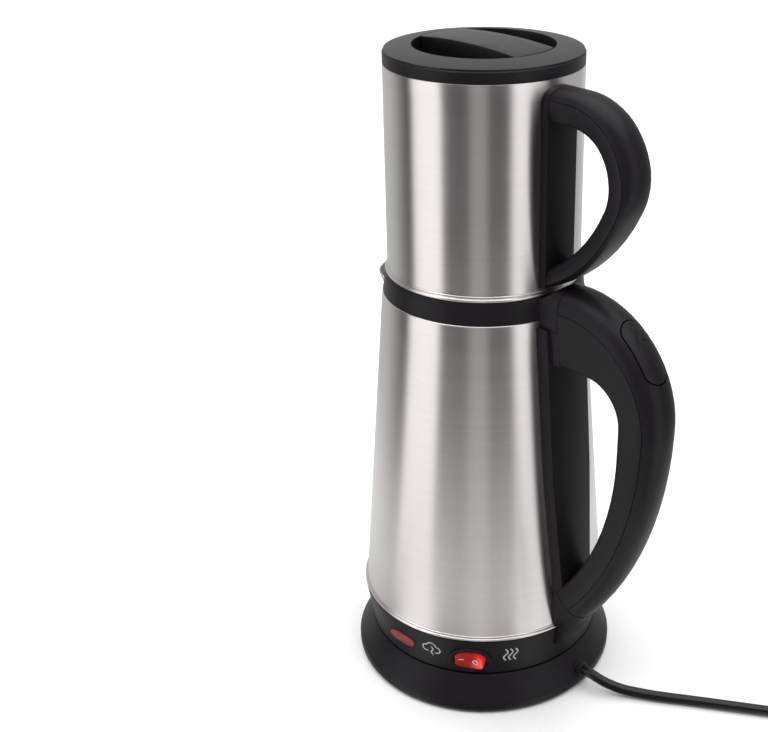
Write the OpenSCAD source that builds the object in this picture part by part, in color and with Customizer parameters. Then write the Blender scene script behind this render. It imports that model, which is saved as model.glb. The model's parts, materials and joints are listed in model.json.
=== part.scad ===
// Electric tea maker: a cordless kettle on a power base, and a teapot that sits in the kettle's collar.
// Sizes are in millimetres. The origin is on the table, on the axis of the bodies, and the handles point to +X.

/* [Power base] */
// Largest diameter of the power base
base_d = 154; // [148:1:166]
// Diameter at the upper edge of its sloping side
base_top_d = 136; // [130:1:140]
// Height of the upright rim
base_rim_h = 9.5; // [7:0.5:13]
// Height of the upper edge
base_h = 21.2; // [19:0.1:26]
// Wall of the housing
base_wall = 2.2; // [1.6:0.1:3]
// Thickness of the bottom cover
base_cover_t = 2.2; // [1.6:0.1:3]
// Height that the rubber foot ring stands below the cover
foot_h = 1.2; // [0.8:0.1:2.5]
// Middle diameter of the foot ring
foot_d = 124; // [116:1:130]
// Width of the foot ring
foot_w = 7; // [4:0.5:10]
// Diameter of the connector tower
tower_d = 30.8; // [28:0.2:34]
// Height of the tower above the platform
tower_h = 13; // [10:0.5:14]

/* [Kettle] */
// Height of the black skirt
skirt_h = 24.7; // [23:0.1:32]
// Diameter at the top of the skirt
skirt_top_d = 144; // [140:1:150]
// Wall of the skirt
skirt_wall = 2.4; // [2:0.1:3]
// Height of the steel wall
kettle_h = 186.5; // [170:0.5:210]
// Diameter of the rim of the steel wall
kettle_rim_d = 110.8; // [106:0.2:116]
// Thickness of the sheet steel
steel_t = 0.8; // [0.6:0.1:1.2]
// Thickness of the rolled bead at the foot
bead_d = 1.7; // [1.4:0.1:2.4]
// Height of the visible collar
collar_h = 12; // [9:0.5:16]
// Width of the collar from the steel to its bore
collar_w = 9.4; // [8:0.2:12]
// Width of the beak at its lip
beak_w = 52; // [40:1:56]
// Height of the beak
beak_h = 53; // [40:1:60]
// Thickness of the heat plate
heat_plate_t = 3.2; // [2:0.2:5]
// Thickness of the heating element's tube
element_d = 7.6; // [6:0.2:8.4]

/* [Panel] */
// Angle of the pilot lens round the skirt
pilot_angle = -86; // [-90:1:-84]
// Length of the oval pilot lens
pilot_l = 18.5; // [16:0.5:19.5]
// Height of the oval pilot lens
pilot_w = 7; // [6:0.2:8]
// Angle of the rocker switch round the skirt
switch_angle = -50.5; // [-54:0.5:-46]
// Length of the oval switch bezel
bezel_l = 24.5; // [23.5:0.5:26]
// Height of the oval switch bezel
bezel_w = 18.2; // [17.4:0.2:18.6]
// Length of the red rocker
switch_l = 18; // [17:0.2:19]
// Width of the red rocker
switch_w = 12.2; // [11:0.2:12.6]
// Angle that the red rocker turns between its two states
switch_throw = 16; // [10:1:18]

/* [Kettle handle] */
// Width of the grip
grip_w = 26; // [22:0.5:28]
// Reach of the back of the grip from the axis
grip_reach = 130.8; // [124:0.2:138]
// Depth of the grip from its inner side to the seam
grip_depth = 16.2; // [15:0.2:18]
// Depth of the crown from the seam to the back of the grip
crown_t = 7.1; // [6:0.1:9]
// Radius of the upper bend at the seam
bend_r = 51.7; // [46:0.1:54]
// Radius of the finger space's upper corner
finger_r = 21.4; // [18:0.2:24]
// Drop from the rim to the top of the finger space
finger_drop = 21.6; // [19:0.2:28]
// Wall of the handle's shells
grip_wall = 2.4; // [2:0.1:3]
// Width of the backing strip on the steel
strip_w = 29.5; // [28:0.5:34]
// Thickness of the backing strip
strip_t = 7.2; // [5:0.1:8]

/* [Thumb rocker] */
// Width of the thumb rocker
thumb_w = 15; // [12:0.5:15.4]
// Length of the thumb rocker
thumb_l = 35; // [28:0.5:38]
// Angle of its middle round the upper bend
thumb_angle = 43; // [38:1:46]
// Diameter of its pivot pin
thumb_pin_d = 3; // [2.4:0.1:3.4]

/* [Teapot] */
// Height of the teapot's steel wall
teapot_h = 110; // [104:0.5:124]
// Diameter at the foot of the steel wall
teapot_d = 104.4; // [102:0.2:107]
// Diameter at the rim of the steel wall
teapot_rim_d = 102.6; // [101:0.2:105]
// Depth of the step that sits in the kettle's collar
step_h = 7; // [5:0.5:10]
// Height of the teapot's collar
pot_collar_h = 6; // [4:0.5:9]
// Width of the teapot's collar from the steel to its bore
pot_collar_w = 7.3; // [6.4:0.1:10]
// Width of the teapot's beak
pot_beak_w = 34; // [26:1:38]
// Height of the teapot's beak
pot_beak_h = 38; // [30:1:46]
// Diameter of a strainer hole
strainer_d = 5; // [4.4:0.1:5.4]

/* [Teapot handle] */
// Width of the teapot's grip
pot_grip_w = 20.4; // [18:0.2:22]
// Depth of the grip at its upper root, from its inner side to the seam
pot_grip_depth = 10.9; // [10:0.1:12]
// Largest depth of the crown on the grip
pot_crown_t = 6.8; // [5.6:0.1:7.6]
// Radius of the finger space
pot_finger_r = 24.4; // [20:0.2:27]
// Distance from the axis to the centre of the bend
pot_bend_x = 66; // [62:0.5:70]
// Drop from the steel rim to the centre of the bend
pot_bend_drop = 44.1; // [43:0.1:48]
// Angle where the bend turns into the long lower arc
pot_bend_end = -25; // [-35:1:-15]
// Thickness of its backing strip
pot_strip_t = 4.2; // [3.4:0.1:5]
// Width of its backing strip
pot_strip_w = 21; // [20:0.5:26]

/* [Lid] */
// Rise of the lid's cone from its edge to the wells
lid_h = 2.7; // [2.4:0.1:6]
// Diameter round the finger wells
well_d = 73; // [66:0.5:76]
// Depth of the finger wells
well_depth = 10.7; // [9:0.1:13]
// Width of the grip bar
bar_w = 29; // [20:0.2:30]
// How far the grip bar lies behind the middle of the lid
bar_shift = 2.1; // [0:0.1:4]
// Rise of the bar's crown
bar_crown = 2; // [1:0.2:4]
// Depth of the lid's plug below the collar
plug_depth = 13; // [12:0.5:16]

/* [Cord] */
// Diameter of the mains cord
cord_d = 6; // [5.6:0.1:6]
// Outer radius of the coil at the middle of the cord
coil_r = 38; // [36:0.5:38]
// Turns of the coil
coil_turns = 2.4; // [2.4:0.1:2.4]
// Distance between neighbouring turns
coil_pitch = 6.6; // [6.6:0.1:6.8]
// Length of a plug pin
prong_l = 19; // [16:0.5:19]

/* [Hidden] */
$fn = 96;

// Clearances
// Between two bodies that rest on each other or pass each other
body_gap = 0.2;
slide_gap = 0.5;
// Between a pin and the hole that it turns in
pin_gap = 0.05;
// Between fixed pieces that fit into each other
fit_gap = 0.15;
// Seam between two mouldings
seam = 0.3;
// Extra length of a cutting tool past the face that it cuts
over = 1;

black = "#1d1d1f";
dark = "#2a2a2d";
steel = "#b9b7b4";
brass = "#b08d4a";
red = "#b4180f";

// Heights of the stack, from the table up
cover_z = foot_h;
cover_top_z = cover_z + base_cover_t;
platform_z = base_h + 1;
platform_t = base_wall;
kettle_z = platform_z + body_gap;
underside_t = 2.5;
skirt_z = kettle_z + 0.4;
skirt_top_z = skirt_z + skirt_h;
flange_z = skirt_top_z + bead_d;
floor_z = flange_z + steel_t;
rim_z = skirt_top_z + kettle_h;
collar_z = rim_z + collar_h;
pot_z = collar_z + body_gap;
pot_rim_z = pot_z + teapot_h;
pot_collar_z = pot_rim_z + pot_collar_h;
lid_z = pot_collar_z + body_gap;

// Radii of the tapered bodies
base_r = base_d / 2;
base_top_r = base_top_d / 2;
skirt_r = base_top_r;
skirt_top_r = skirt_top_d / 2;
kettle_r = skirt_top_r - 1.2;
rim_r = kettle_rim_d / 2;
pot_r = teapot_d / 2;
pot_rim_r = teapot_rim_d / 2;
collar_bore_d = kettle_rim_d - 2 * collar_w;
pot_bore_d = teapot_rim_d - 2 * pot_collar_w;
function between(a, b, t) = a + (b - a) * t;
function wall_r(z) = between(kettle_r, rim_r, (z - skirt_top_z) / kettle_h);
function skirt_at(z) = between(skirt_r, skirt_top_r, (z - skirt_z) / skirt_h);
function pot_wall_r(z) = between(pot_r, pot_rim_r, (z - pot_z) / teapot_h);
skirt_slope = atan((skirt_top_r - skirt_r) / skirt_h);

// Points on an ellipse-like outline, from its half sizes and a power that squares its corners
function rounded_outline(a, b, power, count) = [
    for (i = [0 : count - 1])
        let (t = 360 * i / count, c = cos(t), s = sin(t))
            [a * sign(c) * pow(abs(c), 2 / power), b * sign(s) * pow(abs(s), 2 / power)]
];

// A ring or a disc between two heights
module ring(r, bore, z0, z1) {
    translate([0, 0, z0])
        difference() {
            cylinder(r = r, h = z1 - z0);
            translate([0, 0, -over]) cylinder(r = bore, h = z1 - z0 + 2 * over);
        }
}

module disc(r, z0, z1) {
    translate([0, 0, z0]) cylinder(r = r, h = z1 - z0);
}

// A tapered solid between two heights
module taper(r0, z0, r1, z1) {
    translate([0, 0, z0]) cylinder(r1 = r0, r2 = r1, h = z1 - z0);
}

// A side outline drawn in X and Z, given a width along Y
module from_side(width) {
    rotate([90, 0, 0]) linear_extrude(width, center = true) children();
}

// A rod along X
module rod_x(r, x0, x1, z, y = 0) {
    translate([x0, y, z]) rotate([0, 90, 0]) cylinder(r = r, h = x1 - x0);
}

// A rod along Y
module rod_y(r, half, x, z) {
    translate([x, 0, z]) rotate([90, 0, 0]) cylinder(r = r, h = 2 * half, center = true);
}

// A pan-head screw whose head lies under z = 0 and whose shank points up
module screw(head_r, head_h, shank_r, shank_l) {
    translate([0, 0, -head_h])
        difference() {
            cylinder(r = head_r, h = head_h);
            translate([0, 0, -over]) cylinder(r = head_r * 0.45, h = over + head_h * 0.5, $fn = 6);
        }
    cylinder(r = shank_r, h = shank_l);
}

// A solid through closed outlines of equal length, one after the other along a path
module loft(outlines) {
    n = len(outlines);
    k = len(outlines[0]);
    skin = [
        for (i = [0 : n - 2], j = [0 : k - 1])
            let (a = i * k + j, b = i * k + (j + 1) % k)
                each [[a, a + k, b + k], [a, b + k, b]]
    ];
    last = (n - 1) * k;
    caps = [for (j = [1 : k - 2]) each [[0, j, j + 1], [last, last + j + 1, last + j]]];
    polyhedron([for (o = outlines) each o], concat(skin, caps));
}

// An open shell between outer and inner lines of equal length, one pair after the other along a path
module shell_loft(outer, inner) {
    n = len(outer);
    k = len(outer[0]);
    in0 = n * k;
    last = (n - 1) * k;
    skins = [
        for (i = [0 : n - 2], j = [0 : k - 2])
            let (a = i * k + j, b = a + 1)
                each [
                    [a, a + k, b + k], [a, b + k, b],
                    [in0 + a, in0 + b + k, in0 + a + k], [in0 + a, in0 + b, in0 + b + k]
                ]
    ];
    edges = [
        for (i = [0 : n - 2])
            let (a = i * k, b = a + k - 1)
                each [
                    [a + k, a, in0 + a], [a + k, in0 + a, in0 + a + k],
                    [b, b + k, in0 + b + k], [b, in0 + b + k, in0 + b]
                ]
    ];
    caps = [
        for (j = [0 : k - 2])
            let (a = j, b = j + 1, c = last + j, d = last + j + 1)
                each [
                    [a, b, in0 + b], [a, in0 + b, in0 + a],
                    [d, c, in0 + c], [d, in0 + c, in0 + d]
                ]
    ];
    polyhedron(concat([for (o = outer) each o], [for (o = inner) each o]), concat(skins, edges, caps));
}

// Grip sections. A station holds a point on the inner side, one on the seam and one on the back, in X and Z.
// Distance below the back and half width, at an angle round the crown
grip_power = 2.3;
function squared(v) = sign(v) * pow(abs(v), 2 / grip_power);
function crown_at(half, depth, angle) = [depth * (1 - squared(cos(angle))), half * squared(sin(angle))];
function crown_angle(depth, below) = acos(pow(max(1 - below / depth, 0), grip_power / 2));
function on_line(a, b, distance, y) =
    let (p = a + (b - a) * distance / norm(b - a)) [p.x, y, p.y];

// Half outline of the channel, from the seam to the inner side: distance below the seam and half width.
// Below a crease its sides draw in towards the inner side.
channel_steps = 3;
crease_share = 0.4;
draft = 0.8;
function channel_half(station, half, depth, corner, wall) =
    let (
        deep = norm(station[0] - station[1]) - wall,
        below = norm(station[2] - station[1]),
        start = crown_angle(depth, below),
        round = max(corner - wall, 0.4)
    )
        concat(
            [
                for (i = [0 : channel_steps])
                    let (c = crown_at(half, depth, start + (90 - start) * i / channel_steps)) [c.x - below, c.y - wall]
            ],
            [[crease_share * (deep + wall), half - wall]],
            [for (a = [0 : 30 : 90]) [deep - round * (1 - sin(a)), half - draft - wall - round * (1 - cos(a))]]
        );
function channel_line(station, half, depth, corner, wall) =
    let (h = channel_half(station, half, depth, corner, wall), n = len(h))
        concat(
            [for (p = h) on_line(station[1], station[0], p.x, -p.y)],
            [for (i = [1 : n]) on_line(station[1], station[0], h[n - i].x, h[n - i].y)]
        );

// Line over the crown, from the seam on one side to the seam on the other
crown_steps = 16;
function crown_line(station, half, depth, gap, wall) =
    let (end = crown_angle(depth - wall, norm(station[2] - station[1]) - gap - wall))
        [
            for (i = [0 : crown_steps])
                let (c = crown_at(half - wall, depth - wall, end * (1 - 2 * i / crown_steps)))
                    on_line(station[2], station[1], c.x + wall, c.y)
        ];
function grip_outline(station, half, depth, corner) =
    let (over_back = crown_line(station, half, depth, 0, 0))
        concat(
            channel_line(station, half, depth, corner, 0),
            [for (i = [1 : crown_steps - 1]) over_back[i]]
        );

// Power base

base_screw_r = 47;
base_screw_angles = [60, 180, 300];
boss_r = 4;
screw_r = 1.4;
screw_hole_r = screw_r + pin_gap;
screw_head_r = 2.9;
screw_head_h = 1.4;
base_screw_l = 11;
tower_r = tower_d / 2;
tower_hole_r = tower_r + fit_gap;
tower_flange_r = tower_r + 5;
tower_flange_t = 2.8;
tower_top_z = platform_z + tower_h;
platform_r = base_top_r - 6;
gland_angle = 5.2;
gland_z = 10.5;
gland_r = 4.4;
gland_end = base_r - 0.2;
gland_in = 46;
gland_stop_t = 3;
base_slope = (base_r - 1.5 - base_top_r) / (base_h - base_rim_h);
function base_side_r(z) = base_top_r + (base_h - z) * base_slope;

module base_profile(t) {
    polygon([
        [0, cover_z - over], [base_r - 0.8 - t, cover_z - over], [base_r - 0.8 - t, cover_z],
        [base_r - t, cover_z + 2], [base_r - t, base_rim_h - 3 - t * 0.4], [base_r - 0.4 - t, base_rim_h - 1.4 - t * 0.4],
        [base_r - 1.5 - t, base_rim_h - t * 0.4], [base_top_r - t, base_h - t * 0.8], [base_top_r - 1 - t, base_h - t],
        [platform_r, base_h - t], [platform_r - 1, platform_z - t], [0, platform_z - t]
    ]);
}

module base_housing() {
    color(black) difference() {
        union() {
            rotate_extrude() difference() {
                base_profile(0);
                base_profile(base_wall);
                translate([0, cover_z - 2 * over]) square([base_r + over, 2 * over]);
            }
            for (a = base_screw_angles) rotate([0, 0, a]) translate([base_screw_r, 0, 0])
                disc(boss_r, cover_top_z, platform_z - platform_t / 2);
        }
        disc(tower_hole_r, 0, platform_z + over);
        for (a = base_screw_angles) rotate([0, 0, a]) translate([base_screw_r, 0, 0])
            disc(screw_hole_r, 0, cover_top_z + base_screw_l);
        rotate([0, 0, gland_angle]) rod_x(gland_r + fit_gap, gland_in, base_r + 5, gland_z);
    }
}

module base_cover() {
    color(dark) difference() {
        disc(base_r - 0.8 - base_wall - fit_gap, cover_z, cover_top_z);
        ring(foot_d / 2 + foot_w / 2, foot_d / 2 - foot_w / 2, cover_z - over, cover_z + base_cover_t / 2);
        for (a = base_screw_angles) rotate([0, 0, a]) translate([base_screw_r, 0, 0]) {
            disc(screw_hole_r, 0, cover_top_z + over);
            disc(screw_head_r + fit_gap, 0, cover_z + screw_head_h);
        }
    }
}

module base_foot_ring() {
    color("#3a3a3c") ring(foot_d / 2 + foot_w / 2 - fit_gap, foot_d / 2 - foot_w / 2 + fit_gap,
        0, cover_z + base_cover_t / 2);
}

module base_screws() {
    color(steel) for (a = base_screw_angles) rotate([0, 0, a]) translate([base_screw_r, 0, cover_z + screw_head_h])
        screw(screw_head_r, screw_head_h, screw_r, base_screw_l - 2);
}

// Grooves of the connector tower, as inner and outer radius
outer_groove = [tower_r * 0.62, tower_r * 0.84];
pin_groove = [0, tower_r * 0.36];
groove_z = tower_top_z - 9;

module base_connector() {
    color(dark) difference() {
        union() {
            disc(tower_r - 1, platform_z, tower_top_z);
            disc(tower_r, platform_z - platform_t - tower_flange_t, tower_top_z - 1);
            disc(tower_flange_r, platform_z - platform_t - tower_flange_t, platform_z - platform_t);
        }
        ring(outer_groove[1], outer_groove[0], groove_z, tower_top_z + over);
        disc(pin_groove[1], groove_z, tower_top_z + over);
    }
}

module base_contacts() {
    color(brass) {
        ring(outer_groove[0] + 0.9, outer_groove[0] + fit_gap, groove_z, tower_top_z - 2);
        disc(1.6, groove_z, tower_top_z - 2);
    }
}

// Mains cord

module cord_gland() {
    stop_x = base_side_r(gland_z) - 12;
    color(black) rotate([0, 0, gland_angle]) {
        rod_x(gland_r, stop_x, gland_end, gland_z);
        rod_x(gland_r + 1.4, stop_x, stop_x + gland_stop_t, gland_z);
        translate([gland_in, 0, gland_z]) rotate([0, 90, 0])
            cylinder(r1 = cord_d / 2 + 0.4, r2 = gland_r + 1, h = stop_x - gland_in);
    }
}

// The free stretch, from the gland's mouth to the coil: X and Y from the mouth, and Z from the table
gland_mouth = [gland_end * cos(gland_angle), gland_end * sin(gland_angle), 0];
cord_line = [
    [0, 0, 10.5], [6.5, 0.6, 10.2], [14.5, 3, 7.8], [23, 8, 5], [32, 14.3, 3.6], [42, 21, 3.2],
    [55.9, 30.9, 3.1], [70, 40.6, 3.1], [81.7, 48.6, 3.1], [91.9, 55.6, 3.1], [103.5, 63.5, 3.4],
    [115.5, 71.7, 4], [128.5, 80.6, 4.4]
];
cord_route = [for (p = cord_line) gland_mouth + p];
// The tail, from the coil to the plug
tail_rise = [0, 0.6, 2.6, 5, 6.4, 7];
tail_step = 9;

// Unit vectors along and across a heading on the table
function along(a) = [cos(a), sin(a), 0];

coil_start = cord_route[len(cord_route) - 1];
coil_heading = atan2(coil_start.y - cord_route[len(cord_route) - 2].y, coil_start.x - cord_route[len(cord_route) - 2].x);
coil_centre = coil_start + cord_d * along(coil_heading) + coil_r * along(coil_heading - 90);
coil_rings = 24;
coil_mid = coil_turns / 2;
coil_climb = cord_d + 0.6;
function ease(t) = let (c = min(max(t, 0), 1)) c * c * (3 - 2 * c);
function coil_radius(u) = coil_r - coil_pitch * (coil_mid - abs(u - coil_mid));
function coil_point(u) =
    coil_centre + coil_radius(u) * along(coil_heading + 90 - 360 * u)
        + [0, 0, coil_climb * ease((u - coil_mid + 0.25) / 0.5)];
coil_steps = floor(coil_turns * coil_rings);
coil_end_heading = coil_heading - 360 * coil_turns;
coil_body = [for (i = [0 : coil_steps]) coil_point(coil_turns * i / coil_steps)];
coil_path = concat([coil_start], coil_body, [coil_body[coil_steps] + cord_d * along(coil_end_heading)]);
tail_start = coil_path[len(coil_path) - 1];
tail_path = [for (i = [0 : len(tail_rise) - 1]) tail_start + i * tail_step * along(coil_end_heading) + [0, 0, tail_rise[i]]];
plug_at = tail_path[len(tail_path) - 1];

// A tube swept along points, each ring square to the path
function path_tangent(p, i) =
    let (a = p[max(i - 1, 0)], b = p[min(i + 1, len(p) - 1)]) (b - a) / norm(b - a);
module tube(path, r, sides) {
    loft([
        for (i = [0 : len(path) - 1])
            let (t = path_tangent(path, i), side = cross([0, 0, 1], t) / norm(cross([0, 0, 1], t)), up = cross(t, side))
                [for (k = [0 : sides - 1]) path[i] + r * (cos(360 * k / sides) * side + sin(360 * k / sides) * up)]
    ]);
}

// Least gap of the coil to itself, between points that are more than half a turn apart
coil_gap = min([
    for (i = [0 : coil_steps], j = [i + coil_rings / 2 : 1 : coil_steps]) norm(coil_body[i] - coil_body[j])
]) - cord_d;
echo(coil_least_gap = coil_gap);

module power_cord() {
    color(black) tube(cord_route, cord_d / 2, 10);
}

module cord_coil() {
    color(black) tube(coil_path, cord_d / 2, 6);
}

module cord_tail() {
    color(black) tube(tail_path, cord_d / 2, 10);
}

// The tie goes round the turns at one place of the coil
tie_turn = 0.62;
tie_w = 5;
tie_t = 0.8;

module cord_tie() {
    loose = cord_d / 2 + 0.4;
    inner_r = min(coil_radius(tie_turn), coil_radius(tie_turn + 1)) - loose;
    outer_r = max(coil_radius(tie_turn), coil_radius(tie_turn + 1)) + loose;
    low = coil_start.z - loose;
    high = coil_start.z + coil_climb + loose;
    color("#dcdcd8") translate([coil_centre.x, coil_centre.y, 0]) rotate([0, 0, coil_heading + 90 - 360 * tie_turn])
        difference() {
            translate([inner_r - tie_t, -tie_w / 2, low - tie_t])
                cube([outer_r - inner_r + 2 * tie_t, tie_w, high - low + 2 * tie_t]);
            translate([inner_r, -tie_w, low]) cube([outer_r - inner_r, 2 * tie_w, high - low]);
        }
}

// Plug, along X from the end of the tail
plug_relief_l = 18;
plug_grip_l = 24;
plug_face_t = 15;
plug_face_r = 18;
prong_r = 2.4;
prong_pitch = 19;

module at_plug() {
    translate(plug_at) rotate([0, 0, coil_end_heading]) children();
}

module plug_body() {
    color(black) at_plug() difference() {
        rotate([0, 90, 0]) rotate_extrude() polygon([
            [0, 0], [cord_d / 2 + 1, 0], [cord_d / 2 + 3, plug_relief_l], [9, plug_relief_l + 1],
            [12.5, plug_relief_l + plug_grip_l], [plug_face_r - 1.5, plug_relief_l + plug_grip_l],
            [plug_face_r, plug_relief_l + plug_grip_l + 1.5], [plug_face_r, plug_relief_l + plug_grip_l + plug_face_t],
            [0, plug_relief_l + plug_grip_l + plug_face_t]
        ]);
        for (y = [-prong_pitch / 2, prong_pitch / 2])
            rod_x(prong_r + pin_gap, plug_relief_l + plug_grip_l + plug_face_t - 8,
                plug_relief_l + plug_grip_l + plug_face_t + over, 0, y);
    }
}

module plug_prongs() {
    face = plug_relief_l + plug_grip_l + plug_face_t;
    color(steel) at_plug() for (y = [-prong_pitch / 2, prong_pitch / 2]) {
        rod_x(prong_r, face - 8, face + prong_l - 1, 0, y);
        translate([face + prong_l - 1, y, 0]) rotate([0, 90, 0]) cylinder(r1 = prong_r, r2 = prong_r - 1, h = 1);
    }
}

// Kettle body

spout_window_r = 13;
steam_hole_r = 3;
steam_z = rim_z - 11;

// Points of a steel rim that is rounded on its outside
rim_round = 0.5;
function rim_points(r, z) = concat(
    [for (a = [0 : 30 : 90]) [r - rim_round * (1 - cos(a)), z - rim_round * (1 - sin(a))]],
    [[r - steel_t, z]]
);

// A fine ridge runs round the steel above each foot bead
ridge_d = 1;
ridge_z = flange_z + ridge_d / 2;
module ridge(r, z) {
    translate([r, z]) circle(r = ridge_d / 2, $fn = 24);
}

module kettle_wall() {
    color(steel) difference() {
        rotate_extrude() {
            polygon(concat(
                [[wall_r(flange_z - bead_d / 2), flange_z - bead_d / 2]],
                rim_points(rim_r, rim_z),
                [
                    [wall_r(floor_z) - steel_t, floor_z], [kettle_r - 5, floor_z], [kettle_r - 5, flange_z],
                    [wall_r(flange_z) - steel_t, flange_z], [wall_r(flange_z) - steel_t, flange_z - bead_d / 2]
                ]
            ));
            translate([kettle_r + 1.2 - bead_d / 2, flange_z - bead_d / 2]) circle(r = bead_d / 2, $fn = 32);
            ridge(wall_r(ridge_z), ridge_z);
        }
        rod_x(spout_window_r, -kettle_r, 0, rim_z - beak_h * 0.5);
        rod_x(steam_hole_r, 0, kettle_r, steam_z);
    }
}

// The solid inside the steel wall, grown by a clearance
module wall_core(gap) {
    taper(wall_r(skirt_top_z) + gap, skirt_top_z, wall_r(rim_z + 4) + gap, rim_z + 4);
}

// A beak is a leaning cone that starts as a point on the wall and is cut level at its lip
module leaning_cone(foot, head, r_foot, r_head) {
    lean = head - foot;
    translate(foot) rotate([0, atan2(lean.x, lean.z), 0]) cylinder(r1 = r_foot, r2 = r_head, h = norm(lean));
}

beak_lip_z = rim_z - 5;
beak_foot = [-(wall_r(rim_z - beak_h - 5) - 0.6), 0, rim_z - beak_h - 5];
beak_head = [-(rim_r - 3.4), 0, rim_z - 2];

module kettle_beak() {
    color(steel) difference() {
        leaning_cone(beak_foot, beak_head, 1.2, beak_w / 2);
        leaning_cone(beak_foot + [0, 0, steel_t * 3], beak_head + [0, 0, steel_t * 3], 1.2, beak_w / 2);
        wall_core(fit_gap / 3);
        translate([-kettle_r * 2, -kettle_r, beak_lip_z]) cube([kettle_r * 4, kettle_r * 2, beak_h]);
        translate([0, -kettle_r, 0]) cube([kettle_r * 2, kettle_r * 2, rim_z * 2]);
    }
}

module kettle_floor() {
    color(steel) disc(wall_r(floor_z + 1) - steel_t - 0.4, floor_z, floor_z + 1);
}

heat_plate_z = floor_z - heat_plate_t;
heat_plate_inset = 11;
heat_plate_r = kettle_r - heat_plate_inset;
element_inset = 14;
element_r = heat_plate_r - element_inset;
element_open = 30;

module heat_plate() {
    color("#9a9a9c") disc(heat_plate_r, heat_plate_z, floor_z);
}

module heating_element() {
    color("#6f6c68") {
        rotate([0, 0, 180 + element_open]) rotate_extrude(angle = 360 - 2 * element_open) intersection() {
            translate([element_r, heat_plate_z - element_d / 3]) circle(d = element_d, $fn = 48);
            translate([element_r - element_d, heat_plate_z - element_d]) square([2 * element_d, element_d]);
        }
        for (a = [180 - element_open, 180 + element_open]) rotate([0, 0, a]) translate([element_r, 0, 0])
            disc(element_d / 2, heat_plate_z - element_d - 3, heat_plate_z);
    }
}

socket_r = tower_r + slide_gap;
socket_wall = 3.5;
socket_roof_z = tower_top_z + 1.5;
socket_flange_t = 3;

module kettle_socket() {
    color(dark) difference() {
        union() {
            disc(socket_r + socket_wall, kettle_z + 0.3, heat_plate_z);
            disc(socket_r + socket_wall + 4, heat_plate_z - socket_flange_t, heat_plate_z);
        }
        disc(socket_r, 0, socket_roof_z);
    }
}

module socket_blades() {
    blade_r = outer_groove[1] - 0.7;
    color(brass) {
        for (a = [0, 120, 240]) rotate([0, 0, a]) intersection() {
            ring(blade_r, blade_r - 0.6, groove_z + 3, socket_roof_z);
            translate([0, -3, 0]) cube([tower_r, 6, socket_roof_z]);
        }
        ring(pin_groove[1] - 0.6, pin_groove[1] - 1.2, groove_z + 3, socket_roof_z);
    }
}

// Kettle skirt with its panel

skirt_ledge = 5;
skirt_boss_r = 4;
skirt_boss_angles = [72, 180, 290];
underside_screw_l = 9;
skirt_boss_at = skirt_r - skirt_wall - 3.6;
tongue_w = 15;
tongue_x0 = skirt_r - 8;
tongue_z0 = skirt_z + 12;
tongue_top_z = skirt_top_z - 0.6;
bracket_t = 3;
bracket_x = tongue_x0 - fit_gap - bracket_t;
bracket_z = tongue_z0 - 2;
bracket_h = heat_plate_z - 2 * seam - bracket_z;
bracket_side = 4;
bracket_rib_t = 2;
bracket_rib_l = skirt_r + seam - bracket_x;
handle_screw_r = 1.5;
low_screw_z = (tongue_z0 + tongue_top_z) / 2;

// Places children on the skirt's outer face, with Z outwards, X down the slope and Y to the right
module on_skirt(angle, z) {
    rotate([0, 0, angle]) translate([skirt_at(z), 0, z]) rotate([0, 90 + skirt_slope, 0]) children();
}

// How full the panel's ovals are: 2 is an ellipse
oval_power = 2.3;
switch_z = skirt_z + skirt_h * 0.42;
bezel_back = 1.4;
bezel_front = 0.9;
switch_window_gap = 0.6;
barrel_wall = 1;
barrel_l = switch_l + 2 * switch_window_gap + 2 * barrel_wall;
barrel_w = switch_w + 2 * switch_window_gap + 2 * barrel_wall;
barrel_depth = 14;
pilot_z = skirt_z + skirt_h * 0.5;
pilot_front = 1;
pilot_back = skirt_wall + 1.1;
pilot_flange_t = 1.6;
lamp_r = 2.5;

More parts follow.
